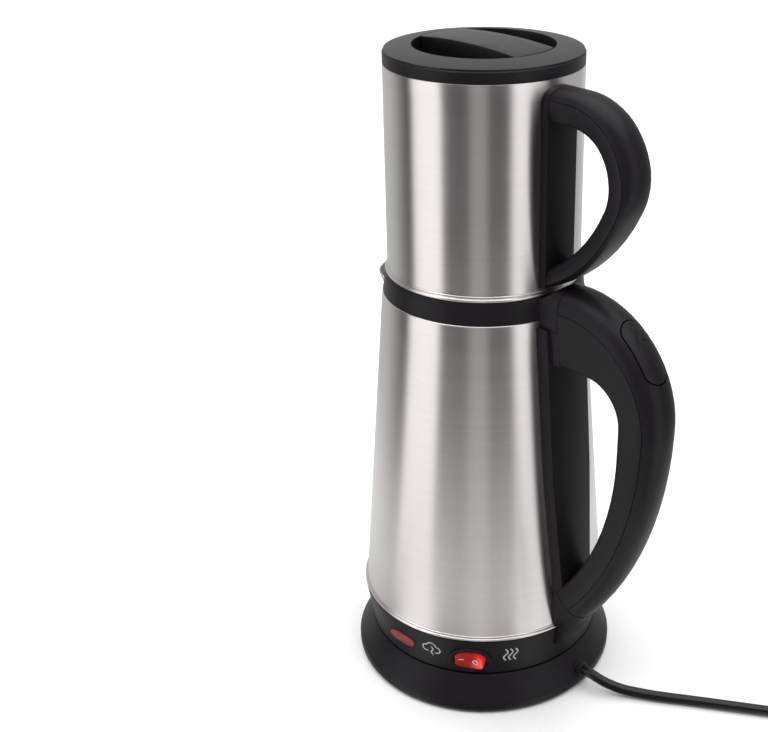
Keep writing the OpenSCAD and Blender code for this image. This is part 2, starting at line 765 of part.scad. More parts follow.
module kettle_skirt() {
    inner_top_z = flange_z - 3;
    color(black) difference() {
        union() {
            rotate_extrude() polygon([
                [skirt_r, skirt_z], [skirt_top_r, skirt_top_z - 0.1], [kettle_r - steel_t - 0.6, skirt_top_z - 0.1],
                [kettle_r - steel_t - 0.6, flange_z], [skirt_top_r - skirt_wall - skirt_ledge, flange_z],
                [skirt_top_r - skirt_wall - skirt_ledge, inner_top_z], [skirt_at(inner_top_z) - skirt_wall, inner_top_z],
                [skirt_r - skirt_wall, skirt_z]
            ]);
            for (a = skirt_boss_angles) rotate([0, 0, a]) translate([skirt_boss_at, 0, 0])
                disc(skirt_boss_r, kettle_z + underside_t, kettle_z + underside_t + underside_screw_l + 3);
            translate([bracket_x, -tongue_w / 2 - bracket_side, bracket_z])
                cube([bracket_t, tongue_w + 2 * bracket_side, bracket_h]);
            for (y = [-tongue_w / 2 - bracket_side, tongue_w / 2 + bracket_side - bracket_rib_t])
                translate([bracket_x, y, bracket_z]) cube([bracket_rib_l, bracket_rib_t, bracket_h]);
        }
        for (a = skirt_boss_angles) rotate([0, 0, a]) translate([skirt_boss_at, 0, 0])
            disc(screw_hole_r, 0, kettle_z + underside_t + underside_screw_l + over);
        translate([tongue_x0 - fit_gap, -tongue_w / 2 - fit_gap, tongue_z0 - fit_gap])
            cube([20, tongue_w + 2 * fit_gap, tongue_top_z - tongue_z0 + 2 * fit_gap]);
        rod_x(handle_screw_r + fit_gap, tongue_x0 - 10, tongue_x0 + 2, low_screw_z);
        on_skirt(switch_angle, switch_z) {
            translate([0, 0, -bezel_back]) linear_extrude(10)
                polygon(rounded_outline(bezel_w / 2 + fit_gap, bezel_l / 2 + fit_gap, 2, 48));
            translate([0, 0, -10]) linear_extrude(20)
                polygon(rounded_outline(barrel_w / 2 + fit_gap, barrel_l / 2 + fit_gap, oval_power, 48));
        }
        on_skirt(pilot_angle, pilot_z) translate([0, 0, -10]) linear_extrude(20)
            polygon(rounded_outline(pilot_w / 2 + fit_gap, pilot_l / 2 + fit_gap, oval_power, 40));
    }
}

module kettle_underside() {
    color(dark) difference() {
        disc(skirt_r - skirt_wall - 0.4, kettle_z, kettle_z + underside_t);
        disc(socket_r + socket_wall + fit_gap, 0, kettle_z + underside_t + over);
        for (a = skirt_boss_angles) rotate([0, 0, a]) translate([skirt_boss_at, 0, 0]) {
            disc(screw_hole_r, 0, kettle_z + underside_t + over);
            disc(screw_head_r + fit_gap, 0, kettle_z + 0.2 + screw_head_h);
        }
    }
}

module underside_screws() {
    color(steel) for (a = skirt_boss_angles) rotate([0, 0, a])
        translate([skirt_boss_at, 0, kettle_z + 0.2 + screw_head_h])
            screw(screw_head_r, screw_head_h, screw_r, underside_screw_l);
}

// Rocker switch

switch_pivot = -2.2;
switch_end_r = switch_l / 2 + 0.2;
switch_tilt = switch_throw / 2;
switch_trunnion_r = 1.2;
valley_r = 28.6;
valley_z = 3.2;

module switch_bezel() {
    color(black) on_skirt(switch_angle, switch_z) difference() {
        union() {
            translate([0, 0, -bezel_back]) linear_extrude(bezel_back + bezel_front)
                polygon(rounded_outline(bezel_w / 2, bezel_l / 2, 2, 48));
            translate([0, 0, -barrel_depth]) linear_extrude(barrel_depth - 0.5)
                polygon(rounded_outline(barrel_w / 2, barrel_l / 2, oval_power, 48));
        }
        translate([0, 0, 2.5 - barrel_depth]) linear_extrude(barrel_depth + over)
            polygon(rounded_outline(
                switch_w / 2 + switch_window_gap, switch_l / 2 + switch_window_gap, oval_power, 48
            ));
        translate([0, 0, switch_pivot]) rotate([0, 90, 0])
            cylinder(r = switch_trunnion_r + pin_gap, h = barrel_w - 0.8, center = true);
    }
}

module switch_rocker() {
    color(red) on_skirt(switch_angle, switch_z) translate([0, 0, switch_pivot]) rotate([switch_tilt, 0, 0]) {
        difference() {
            intersection() {
                translate([0, 0, -2]) linear_extrude(switch_l / 2)
                    polygon(rounded_outline(switch_w / 2, switch_l / 2, oval_power, 48));
                rotate([0, 90, 0]) cylinder(r = switch_end_r, h = switch_w, center = true);
            }
            // shallow valley between the two faces
            translate([0, 0, valley_z + valley_r]) rotate([0, 90, 0])
                cylinder(r = valley_r, h = 2 * switch_w, center = true);
        }
        rotate([0, 90, 0]) cylinder(r = switch_trunnion_r, h = barrel_w - 1.2, center = true);
    }
}

module switch_blades() {
    color(brass) on_skirt(switch_angle, switch_z) for (y = [-6, 0, 6])
        translate([-2.4, y - 0.4, -barrel_depth - 7]) cube([4.8, 0.8, 7]);
}

module pilot_lens() {
    color("#8e1b14") on_skirt(pilot_angle, pilot_z) {
        translate([0, 0, -pilot_back]) linear_extrude(pilot_back + pilot_front)
            polygon(rounded_outline(pilot_w / 2, pilot_l / 2, oval_power, 40));
        translate([0, 0, -pilot_back - pilot_flange_t]) linear_extrude(pilot_flange_t)
            polygon(rounded_outline(pilot_w / 2 + 1, pilot_l / 2 + 1, oval_power, 40));
    }
}

module pilot_lamp() {
    color("#d9a79a") on_skirt(pilot_angle, pilot_z) translate([0, 0, -pilot_back - pilot_flange_t - lamp_r - 0.1])
        rotate([90, 0, 0]) cylinder(r = lamp_r, h = pilot_l - 3, center = true);
}

// Kettle collar and the block that carries the handle

lug_reach = 10.8;
lug_x = rim_r + lug_reach;
lug_z = rim_z - 2.6;
collar_skirt_h = 9;

module kettle_collar() {
    color(black) difference() {
        union() {
            rotate_extrude() polygon([
                [rim_r - 0.5, rim_z], [rim_r - 1.8, collar_z - 1], [rim_r - 2.4, collar_z], [collar_bore_d / 2, collar_z],
                [collar_bore_d / 2, rim_z - 1], [collar_bore_d / 2 + 2, rim_z - collar_skirt_h],
                [rim_r - steel_t - 0.5, rim_z - collar_skirt_h], [rim_r - steel_t - 0.5, rim_z]
            ]);
            intersection() {
                crown_root();
                translate([rim_r - 3, -grip_w, lug_z]) cube([lug_x - rim_r + 3, 2 * grip_w, grip_w * 2]);
                union() {
                    translate([0, 0, rim_z]) cylinder(r = lug_x * 1.2, h = 60);
                    difference() {
                        cylinder(r = lug_x * 1.2, h = rim_z + over);
                        wall_core(fit_gap);
                    }
                }
            }
        }
        // room for the teapot's foot above the collar
        disc(pot_foot_r + slide_gap + 0.6, collar_z, collar_z + 60);
        rod_x(handle_screw_r + fit_gap, collar_bore_d / 2 - 5, lug_x + over, top_screw_z);
        rod_x(screw_head_r + fit_gap, collar_bore_d / 2 - 5, collar_bore_d / 2 + top_screw_sink, top_screw_z);
    }
}

// Kettle handle, drawn from the side in X and Z

seam_x = grip_reach - crown_t;
grip_x = seam_x - grip_depth;
bend_c = [seam_x - bend_r, rim_z - 44];
finger_top_z = rim_z - finger_drop;
finger_c = [grip_x - finger_r, finger_top_z - finger_r];
crown_depth = 12.3;
crown_r = 60.3;
grip_corner = 2.5;
lug_slope_x = rim_r + 8;
crown_c = [grip_reach - crown_r, rim_z - 41];
seam_foot = [skirt_top_r + 11.4, skirt_top_z + 22.1];
finger_foot = [skirt_top_r + 2.7, skirt_top_z + 31];
crown_foot = [skirt_top_r + 23, skirt_top_z + 23.8];
cover_end_z = skirt_top_z + 18;
heel_w = grip_w - 4;
heel_x = skirt_r - 4;
heel_r = 15.5;
top_screw_z = rim_z + 2;
// How deep its head sits in the collar, and how far its tip reaches past the lug
top_screw_sink = 3;
top_screw_in = 10;
cavity_x = lug_x + 2;

// Radius of an arc that leaves one point straight down and passes through another
function drop_radius(from, to) = (pow(from.x - to.x, 2) + pow(from.y - to.y, 2)) / (2 * (from.x - to.x));
seam_low_r = drop_radius([seam_x, bend_c.y], seam_foot);
finger_low_z = finger_c.y - 16;
finger_low_r = drop_radius([grip_x, finger_low_z], finger_foot);
crown_low_r = drop_radius([grip_reach, crown_c.y], crown_foot);

// Points on the seam from the lug round the bend and down the lower arc to an angle
seam_low_c = [seam_x - seam_low_r, bend_c.y];
crown_low_c = [grip_reach - crown_low_r, crown_c.y];
finger_low_c = [grip_x - finger_low_r, finger_low_z];
cover_end_angle = asin((bend_c.y - cover_end_z) / seam_low_r);
foot_end_angle = asin((bend_c.y - skirt_top_z - 4) / seam_low_r);
function towards(c, r, p) = c + r * (p - c) / norm(p - c);
function dir(a) = [cos(a), sin(a)];

// The inner side opposite a point of the bend lies on the finger space's top, corner or upright side
function bend_inner(a) =
    let (
        m = finger_c - bend_c,
        reach = m * dir(a) + sqrt(pow(m * dir(a), 2) - m * m + finger_r * finger_r),
        p = bend_c + reach * dir(a)
    )
        p.x < finger_c.x ? [bend_c.x + (finger_top_z - bend_c.y) / tan(a), finger_top_z]
        : p.y < finger_c.y ? [grip_x, bend_c.y + (grip_x - bend_c.x) * tan(a)]
        : p;
function bend_station(a) =
    let (p = bend_c + bend_r * dir(a)) [bend_inner(a), p, towards(crown_c, crown_r, p)];
function low_station(a) =
    let (p = seam_low_c + seam_low_r * dir(-a))
        [
            p.y > finger_low_z ? [grip_x, p.y] : towards(finger_low_c, finger_low_r, p),
            p,
            towards(crown_low_c, crown_low_r, p)
        ];
root_station = [
    [lug_x + seam, finger_top_z], [lug_x + seam, bend_c.y + bend_r], [lug_x + seam, crown_c.y + crown_r]
];
grip_stations = concat(
    [root_station],
    [for (a = [90 : -6 : 6]) bend_station(a)],
    [for (i = [0 : 12]) low_station(cover_end_angle * i / 12)]
);

// The solid foot is a little larger than the channel that runs into it, and starts a seam below the cover
foot_lip = 0.15;
foot_lap = 1;
foot_start_angle = cover_end_angle + seam / seam_low_r * 180 / PI;
channel_stations = concat(grip_stations, [low_station(foot_start_angle + foot_lap)]);
function grown(s, by) = [towards(s[1], norm(s[0] - s[1]) + by, s[0]), s[1], towards(s[1], norm(s[2] - s[1]) + by, s[2])];
foot_stations = [
    for (i = [0 : 4]) grown(low_station(between(foot_start_angle, foot_end_angle, i / 4)), foot_lip)
];

// Section of the lug and of the bend's crown, as a polygon at a distance from the bend's centre
function crown_polygon(t) =
    let (half = grip_w / 2 - t, depth = crown_depth - t, top = crown_r - t, steps = 14)
        concat(
            [[0, -half]],
            [for (i = [-steps : steps]) let (c = crown_at(half, depth, 90 * i / steps)) [top - c.x, c.y]],
            [[0, half]]
        );

// The bend's crown, shrunk by a wall
module crown_bend(t) {
    translate([crown_c.x, 0, crown_c.y]) rotate([90, 0, 0])
        rotate_extrude(angle = 90, $fn = 180) polygon(crown_polygon(t));
}

// The straight root slopes down towards the teapot's foot
module crown_root() {
    intersection() {
        translate([0, 0, crown_c.y]) rotate([90, 0, 90])
            linear_extrude(crown_c.x) polygon([for (p = crown_polygon(0)) [p.y, p.x]]);
        from_side(2 * grip_w) polygon([
            [0, 0], [crown_c.x, 0], [crown_c.x, rim_z + grip_reach], [lug_slope_x, crown_c.y + crown_r],
            [rim_r, collar_z + 0.6], [0, collar_z + 0.6]
        ]);
    }
}

// The strip that backs the handle on the steel wall
module backing_strip() {
    low = wall_r(flange_z) + strip_t;
    intersection() {
        difference() {
            taper(low, flange_z + 0.3, wall_r(lug_z) + strip_t, lug_z - seam);
            wall_core(fit_gap);
        }
        translate([0, 0, 0]) rotate([90, 0, 90]) linear_extrude(kettle_r * 2) polygon([
            [-strip_w / 2, rim_z], [-strip_w / 2, rim_z * 0.62], [-strip_w * 0.35, flange_z], [strip_w * 0.35, flange_z],
            [strip_w / 2, rim_z * 0.62], [strip_w / 2, rim_z]
        ]);
    }
}

module kettle_handle() {
    half = grip_w / 2;
    block_top_z = lug_z - seam;
    color(black) difference() {
        union() {
            shell_loft(
                [for (s = channel_stations) channel_line(s, half, crown_depth, grip_corner, 0)],
                [for (s = channel_stations) channel_line(s, half, crown_depth, grip_corner, grip_wall)]
            );
            loft([for (s = foot_stations) grip_outline(s, half + foot_lip, crown_depth, grip_corner)]);
            // block between the steel wall and the hollow grip, and a boss for the upper screw
            translate([rim_r - 4, 0, 0]) rotate([90, 0, 90]) linear_extrude(cavity_x - rim_r + 4) polygon([
                [-half, block_top_z], [-half + draft, finger_top_z], [half - draft, finger_top_z], [half, block_top_z]
            ]);
            translate([lug_x + seam, -boss_r, block_top_z - 6])
                cube([12, 2 * boss_r, top_screw_z + boss_r - block_top_z + 6]);
            intersection() {
                from_side(heel_w) polygon([
                    [heel_x, tongue_z0], [skirt_at(tongue_z0), tongue_z0], [skirt_top_r + 4.5, skirt_top_z - 1],
                    [skirt_top_r + 11, skirt_top_z + 9], [heel_x, skirt_top_z + 9]
                ]);
                translate([heel_x, 0, 0]) disc(heel_r, 0, rim_z);
            }
            backing_strip();
        }
        wall_core(fit_gap);
        // the bead, the ridge and the skirt stand in front of the handle's foot
        disc(skirt_top_r + fit_gap, tongue_top_z, flange_z + ridge_d + fit_gap);
        taper(skirt_r + fit_gap, skirt_z, skirt_top_r + fit_gap, skirt_top_z);
        rod_x(steam_hole_r, 0, cavity_x + over, steam_z);
        rod_x(handle_screw_r + pin_gap, lug_x, lug_x + top_screw_in + 1.5, top_screw_z);
    }
    color(black) handle_tongue();
}

// The tongue goes through the skirt's notch and takes the lower screw
module handle_tongue() {
    difference() {
        intersection() {
            translate([tongue_x0, -tongue_w / 2, tongue_z0]) cube([20, tongue_w, tongue_top_z - tongue_z0]);
            taper(skirt_r + 2 * fit_gap, skirt_z, skirt_top_r + 2 * fit_gap, skirt_top_z);
        }
        rod_x(handle_screw_r + pin_gap, tongue_x0 - over, tongue_x0 + 8, low_screw_z);
    }
}

module kettle_handle_cover() {
    half = grip_w / 2;
    color(dark) difference() {
        shell_loft(
            [for (s = grip_stations) crown_line(s, half, crown_depth, seam, 0)],
            [for (s = grip_stations) crown_line(s, half, crown_depth, seam, grip_wall)]
        );
        thumb_prism(thumb_gap);
        thumb_pin_rod(thumb_pin_d / 2 + pin_gap, thumb_pin_half + pin_gap);
    }
}

module handle_screws() {
    color(steel) {
        translate([collar_bore_d / 2 + top_screw_sink, 0, top_screw_z]) rotate([0, 90, 0])
            screw(screw_head_r, screw_head_h, handle_screw_r,
                lug_x + top_screw_in - collar_bore_d / 2 - top_screw_sink);
        translate([bracket_x, 0, low_screw_z]) rotate([0, 90, 0])
            screw(screw_head_r, screw_head_h, handle_screw_r, bracket_t + 6);
    }
}

steam_switch_l = 15;
steam_switch_h = 15;
steam_switch_x = lug_x + 13.5;

module steam_switch() {
    half = grip_w / 2 - draft - grip_wall - fit_gap;
    z = finger_top_z + grip_wall + fit_gap;
    color("#d8d2c4") difference() {
        translate([steam_switch_x, -half, z]) cube([steam_switch_l, 2 * half, steam_switch_h]);
        translate([steam_switch_x + 1.5, -half + 1.5, z + 2]) cube([steam_switch_l - 3, 2 * half - 3, steam_switch_h]);
    }
    color(brass) translate([steam_switch_x + steam_switch_l / 2, 0, z + 2]) cylinder(r = 5.5, h = 1);
}

lead_r = 1.2;

// Two leads run down the hollow grip against its inner wall
module handle_leads() {
    r = finger_low_r + grip_wall + lead_r + fit_gap;
    color("#e8e6e0") for (y = [-2, 2]) translate([grip_x - finger_low_r, y, finger_low_z]) rotate([90, 0, 0])
        rotate([0, 0, -25]) rotate_extrude(angle = 25, $fn = 360) translate([r, 0]) circle(r = lead_r, $fn = 24);
}

// Thumb rocker in the handle's cover

thumb_gap = 0.7;
thumb_pivot_r = crown_r - 5.8;
thumb_pivot = [crown_c.x + thumb_pivot_r * cos(thumb_angle), crown_c.y + thumb_pivot_r * sin(thumb_angle)];
thumb_pin_half = grip_w / 2 - 2.8;

// A capsule that points outwards from the bend
module thumb_prism(grow) {
    translate([crown_c.x, 0, crown_c.y]) rotate([0, 90 - thumb_angle, 0]) translate([0, 0, crown_r - 12])
        linear_extrude(24) {
            square([thumb_l - thumb_w, thumb_w + 2 * grow], center = true);
            for (x = [-1, 1]) translate([x * (thumb_l - thumb_w) / 2, 0]) circle(d = thumb_w + 2 * grow);
        }
}

module thumb_pin_rod(r, half) {
    rod_y(r, half, thumb_pivot.x, thumb_pivot.y);
}

module thumb_pin() {
    color(steel) thumb_pin_rod(thumb_pin_d / 2, thumb_pin_half);
}

module thumb_rocker() {
    color(black) difference() {
        union() {
            intersection() {
                difference() {
                    crown_bend(0);
                    crown_bend(grip_wall + 0.6);
                }
                thumb_prism(0);
            }
            intersection() {
                rod_y(thumb_pin_d / 2 + 2, thumb_w / 2 - 2, thumb_pivot.x, thumb_pivot.y);
                crown_bend(1);
            }
        }
        thumb_pin_rod(thumb_pin_d / 2 + pin_gap, grip_w);
    }
}

// Teapot

pot_foot_r = pot_r + 1.3;
pot_step_r = collar_bore_d / 2 - slide_gap - 0.5;
pot_step_z = pot_z - step_h;
pot_waist_z = pot_z + bead_d + 0.4;
pot_ridge_z = pot_waist_z + ridge_d / 2;
strainer_pitch = strainer_d + 1.8;
strainer_rows = 3;
strainer_drop = 13;

module teapot_wall() {
    color(steel) difference() {
        rotate_extrude() {
            polygon(concat(
                [
                    [0, pot_step_z], [pot_step_r - 1, pot_step_z], [pot_step_r, pot_step_z + 1], [pot_step_r, pot_z],
                    [pot_foot_r - bead_d / 2, pot_z], [pot_foot_r - bead_d / 2, pot_z + bead_d],
                    [pot_wall_r(pot_waist_z), pot_waist_z]
                ],
                rim_points(pot_rim_r, pot_rim_z),
                [
                    [pot_wall_r(pot_waist_z) - steel_t, pot_waist_z], [pot_step_r - steel_t, pot_z + bead_d - 0.4],
                    [pot_step_r - steel_t, pot_step_z + 1 + steel_t], [pot_step_r - 1 - steel_t, pot_step_z + steel_t],
                    [0, pot_step_z + steel_t]
                ]
            ));
            translate([pot_foot_r - bead_d / 2, pot_z + bead_d / 2]) circle(r = bead_d / 2, $fn = 32);
            ridge(pot_wall_r(pot_ridge_z), pot_ridge_z);
        }
        // strainer holes, one fewer in each lower row
        for (row = [0 : strainer_rows - 1], k = [0 : strainer_rows - 1 - row])
            rod_x(strainer_d / 2, -pot_r * 2, 0, pot_rim_z - strainer_drop - row * strainer_pitch,
                (k - (strainer_rows - 1 - row) / 2) * strainer_pitch);
    }
}

module pot_core(gap) {
    taper(pot_wall_r(pot_step_z) + gap, pot_step_z, pot_wall_r(pot_rim_z + 3) + gap, pot_rim_z + 3);
}

pot_beak_foot = [-(pot_wall_r(pot_rim_z - pot_beak_h - 4) - 0.6), 0, pot_rim_z - pot_beak_h - 4];
pot_beak_head = [-(pot_rim_r - 2), 0, pot_rim_z - 2];

module teapot_beak() {
    color(steel) difference() {
        leaning_cone(pot_beak_foot, pot_beak_head, 1.2, pot_beak_w / 2);
        leaning_cone(pot_beak_foot + [0, 0, steel_t * 3], pot_beak_head + [0, 0, steel_t * 3], 1.2, pot_beak_w / 2);
        pot_core(fit_gap / 3);
        translate([-pot_r * 2, -pot_r, pot_rim_z - 4]) cube([pot_r * 4, pot_r * 2, pot_beak_h]);
        translate([0, -pot_r, 0]) cube([pot_r * 2, pot_r * 2, pot_rim_z * 2]);
    }
}

// The teapot's collar goes down inside the steel rim
pot_collar_in = 6;
pot_collar_edge = 0.6;

module teapot_collar() {
    low_z = pot_rim_z - pot_collar_in;
    color(black) rotate_extrude() polygon([
        [pot_rim_r, pot_rim_z], [pot_rim_r, pot_collar_z - pot_collar_edge], [pot_rim_r - pot_collar_edge, pot_collar_z],
        [pot_bore_d / 2, pot_collar_z], [pot_bore_d / 2, low_z], [pot_rim_r - steel_t - seam, low_z],
        [pot_rim_r - steel_t - seam, pot_rim_z]
    ]);
}

// Teapot handle: one section follows a straight root, a bend and a long lower arc

pot_bend_c = [pot_bend_x, pot_rim_z - pot_bend_drop];
pot_seam_r = pot_finger_r + pot_grip_depth;
pot_root_foot = [pot_r + 7.4, pot_z + 9.1];
pot_strip_z0 = pot_z + 5;
stud_r = 1.5;
stud_l = 8;
stud_zs = [pot_bend_c.y + pot_finger_r + pot_grip_depth / 2, pot_z + 13.1];
nut_r = 2.7;
nut_t = 2.4;
nut_seat = pot_strip_t + fit_gap;

// How much larger the lower arc is than the bend, so that it ends at the lower root
bend_out = [cos(pot_bend_end), sin(pot_bend_end)];
pot_low_start = pot_bend_c + pot_seam_r * bend_out;
pot_low_run = pot_root_foot - pot_low_start;
pot_low_extra = (pot_low_run * pot_low_run) / (-2 * (pot_low_run * bend_out)) - pot_seam_r;
pot_low_c = pot_bend_c - pot_low_extra * bend_out;
pot_low_sweep = 42;
pot_hollow_sweep = 20;

pot_corner = 2.5;
pot_grip_wall = 2.8;

// Share of the crown's largest depth, and of the grip's depth, at angles from the lower root up to the upper one
pot_low_end = pot_bend_end - pot_low_sweep;
pot_crown_shares = [[pot_low_end, 0.28], [pot_bend_end, 0.38], [10, 0.87], [50, 1], [90, 0.82]];
pot_depth_shares = [[pot_low_end, 0.69], [pot_bend_end, 0.82], [10, 0.9], [50, 0.91], [90, 1]];
function pot_offsets(a) = [-pot_grip_depth * lookup(a, pot_depth_shares), 0, pot_crown_t * lookup(a, pot_crown_shares)];

// The crown's shoulders reach a little below the seam
pot_shoulder = 1.35;
function pot_crown_depth(s) = pot_shoulder * norm(s[2] - s[1]);

// Stations of the handle: straight root, bend and lower arc
function pot_station(c, r, a) = [for (offset = pot_offsets(a)) c + (r + offset) * dir(a)];
pot_root_station = [for (offset = pot_offsets(90)) [pot_rim_r - 6, pot_bend_c.y + pot_seam_r + offset]];
pot_strip_z1 = pot_root_station[2].y;
pot_stations = concat(
    [pot_root_station],
    [for (a = [90 : -6 : pot_bend_end]) pot_station(pot_bend_c, pot_seam_r, a)],
    [
        for (i = [1 : 9])
            pot_station(pot_low_c, pot_seam_r + pot_low_extra, pot_bend_end - pot_low_sweep * i / 9)
    ]
);
pot_root_stations = [
    for (i = [0 : 4])
        pot_station(pot_low_c, pot_seam_r + pot_low_extra, pot_bend_end - between(pot_hollow_sweep, pot_low_sweep, i / 4))
];

// The strip on the teapot's wall, whose top has the crown's outline
module pot_strip() {
    half = pot_strip_w / 2;
    depth = pot_crown_depth(pot_root_station);
    intersection() {
        difference() {
            taper(pot_wall_r(pot_strip_z0) + pot_strip_t, pot_strip_z0, pot_wall_r(pot_strip_z1) + pot_strip_t, pot_strip_z1);
            pot_core(fit_gap);
        }
        rotate([90, 0, 90]) linear_extrude(pot_r * 2) polygon(concat(
            [[half, 0], [-half, 0]],
            [for (a = [-90 : 6 : 90]) let (c = crown_at(half, depth, a)) [c.y, pot_strip_z1 - c.x]]
        ));
    }
}

// Everything below the sloping lower end of the handle, which clears the kettle's handle
module below_pot_root() {
    from_side(4 * pot_grip_w) polygon([
        [0, 0], [pot_r * 2, 0], [pot_r * 2, pot_strip_z0 + pot_r * 0.3], [pot_r, pot_strip_z0], [0, pot_strip_z0]
    ]);
}

module teapot_handle() {
    half = pot_grip_w / 2;
    color(black) difference() {
        union() {
            shell_loft(
                [for (s = pot_stations) channel_line(s, half, pot_crown_depth(s), pot_corner, 0)],
                [for (s = pot_stations) channel_line(s, half, pot_crown_depth(s), pot_corner, pot_grip_wall)]
            );
            // the lower root is solid
            loft([for (s = pot_root_stations) channel_line(s, half, pot_crown_depth(s), pot_corner, 0)]);
            pot_strip();
        }
        pot_core(fit_gap);
        below_pot_root();
        for (z = stud_zs) rod_x(stud_r + pin_gap, 0, pot_r + stud_l + over, z);
        for (z = stud_zs) rod_x(nut_r + fit_gap, pot_wall_r(z) + pot_strip_t, pot_r * 2, z);
    }
}

module teapot_handle_cover() {
    half = pot_grip_w / 2;
    color(dark) difference() {
        loft([for (s = pot_stations) crown_line(s, half, pot_crown_depth(s), seam, 0)]);
        pot_core(pot_strip_t + seam);
        below_pot_root();
    }
}

module teapot_studs() {
    color(steel) for (z = stud_zs) difference() {
        rod_x(stud_r, pot_rim_r - 5, pot_wall_r(z) + stud_l, z);
        pot_core(fit_gap / 3);
    }
}

module teapot_nuts() {
    color(brass) for (z = stud_zs) difference() {
        rod_x(nut_r, pot_wall_r(z) + nut_seat, pot_wall_r(z) + nut_seat + nut_t, z);
        rod_x(stud_r + pin_gap, 0, pot_r * 2, z);
    }
}

// Lid

lid_r = pot_rim_r - 0.7;
lid_plug_r = pot_bore_d / 2 - slide_gap;
lid_wall = 2;
lid_top_z = lid_z + lid_h;
well_r = well_d / 2;
lid_plug_z = pot_collar_z - plug_depth;
bar_front = bar_shift - bar_w / 2;
bar_back = bar_shift + bar_w / 2;
liner_t = 1.6;
bar_groove = 0.6;
dome_r = (well_r * well_r + bar_crown * bar_crown) / (2 * bar_crown);

module lid_dome(drop) {
    rotate_extrude() intersection() {
        translate([0, lid_top_z + bar_crown - dome_r - drop]) circle(r = dome_r, $fn = 360);
        translate([0, lid_plug_z]) square([well_r + over, plug_depth * 3]);
    }
}

// Half of the round well beside the bar
module well(side, r, inset, z0, z1) {
    intersection() {
        disc(r, z0, z1);
        translate([-well_r * 2, side > 0 ? bar_back + inset : bar_front - inset - well_r * 4, 0])
            cube([well_r * 4, well_r * 4, lid_top_z * 2]);
    }
}

module lid_top() {
    well_z = lid_top_z - well_depth;
    color(black) difference() {
        union() {
            rotate_extrude() polygon([
                [0, lid_z], [lid_r, lid_z], [lid_r, lid_z + 0.6], [well_r, lid_top_z], [0, lid_top_z]
            ]);
            disc(lid_plug_r, lid_plug_z, lid_z + over);
            intersection() {
                lid_dome(0);
                translate([-well_r, bar_front, 0]) cube([2 * well_r, bar_w, lid_top_z * 2]);
                disc(well_r, lid_z, lid_top_z * 2);
            }
        }
        for (side = [-1, 1]) well(side, well_r, 0, well_z, lid_top_z * 2);
        // fine groove round the ends of the bar
        ring(well_r, well_r - bar_groove, lid_top_z - bar_groove, lid_top_z + bar_crown);
        // hollow under the rim, round the wells and in the bar
        difference() {
            disc(lid_plug_r - lid_wall, lid_plug_z - over, lid_z);
            for (side = [-1, 1]) well(side, well_r + lid_wall, -lid_wall, well_z - lid_wall, lid_z + over);
        }
        intersection() {
            disc(well_r - lid_wall, lid_plug_z - over, lid_top_z - lid_wall);
            translate([-well_r, bar_front + lid_wall, 0]) cube([2 * well_r, bar_w - 2 * lid_wall, lid_top_z]);
        }
    }
}

module lid_liner() {
    color(steel) difference() {
        disc(lid_plug_r - 0.3, lid_plug_z - liner_t, lid_plug_z);
        disc(lid_plug_r - 8, lid_plug_z - liner_t - over, lid_plug_z - liner_t + 0.7);
    }
}

base_housing();
base_cover();
base_foot_ring();
base_screws();
base_connector();
base_contacts();
cord_gland();
power_cord();
cord_coil();
cord_tie();
cord_tail();
plug_body();
plug_prongs();
kettle_wall();
kettle_beak();
kettle_floor();
heat_plate();
heating_element();
kettle_socket();
socket_blades();
kettle_skirt();
kettle_underside();
underside_screws();
kettle_collar();
kettle_handle();
kettle_handle_cover();
handle_screws();
steam_switch();
handle_leads();
thumb_pin();
thumb_rocker();
switch_bezel();
switch_rocker();
switch_blades();
pilot_lens();
pilot_lamp();
teapot_wall();
teapot_beak();
teapot_collar();
teapot_handle();
teapot_handle_cover();
teapot_studs();
teapot_nuts();
lid_top();
lid_liner();
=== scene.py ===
"""Dresses the electric tea maker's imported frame: finishes, cord, panel marks, camera and studio."""

import json
from math import atan2, cos, pi, radians, sin, tan

import bmesh
import bpy
from bpy.props import FloatProperty, FloatVectorProperty, IntProperty, PointerProperty
from bpy.types import Operator, Panel, PropertyGroup
from mathutils import Matrix, Vector

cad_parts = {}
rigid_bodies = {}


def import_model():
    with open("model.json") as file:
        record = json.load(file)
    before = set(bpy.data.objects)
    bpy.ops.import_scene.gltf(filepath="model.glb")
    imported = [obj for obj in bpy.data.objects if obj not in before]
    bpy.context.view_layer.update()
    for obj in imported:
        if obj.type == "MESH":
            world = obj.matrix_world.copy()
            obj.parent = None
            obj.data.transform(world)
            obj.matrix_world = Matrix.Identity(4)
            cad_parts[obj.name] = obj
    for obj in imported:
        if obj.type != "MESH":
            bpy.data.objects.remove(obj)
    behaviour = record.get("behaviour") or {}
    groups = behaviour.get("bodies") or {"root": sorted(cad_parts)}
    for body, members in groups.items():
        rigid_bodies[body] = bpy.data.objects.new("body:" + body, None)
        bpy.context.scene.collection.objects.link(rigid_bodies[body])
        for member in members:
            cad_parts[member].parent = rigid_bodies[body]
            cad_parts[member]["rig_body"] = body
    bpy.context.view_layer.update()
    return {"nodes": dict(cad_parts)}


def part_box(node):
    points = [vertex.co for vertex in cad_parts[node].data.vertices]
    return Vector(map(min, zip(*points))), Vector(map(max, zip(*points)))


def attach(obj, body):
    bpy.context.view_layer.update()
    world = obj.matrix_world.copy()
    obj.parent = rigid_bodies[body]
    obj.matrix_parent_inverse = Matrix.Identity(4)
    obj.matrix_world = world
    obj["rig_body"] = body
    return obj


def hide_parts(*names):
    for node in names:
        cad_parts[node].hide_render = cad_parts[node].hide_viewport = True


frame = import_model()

bl_info = {
    "name": "Electric tea maker",
    "version": (1, 0, 0),
    "blender": (4, 5, 0),
    "location": "View3D > Sidebar > Tea maker",
    "description": "Finishes, cord, panel marks and studio for a kettle with a teapot on top",
    "category": "Object",
}

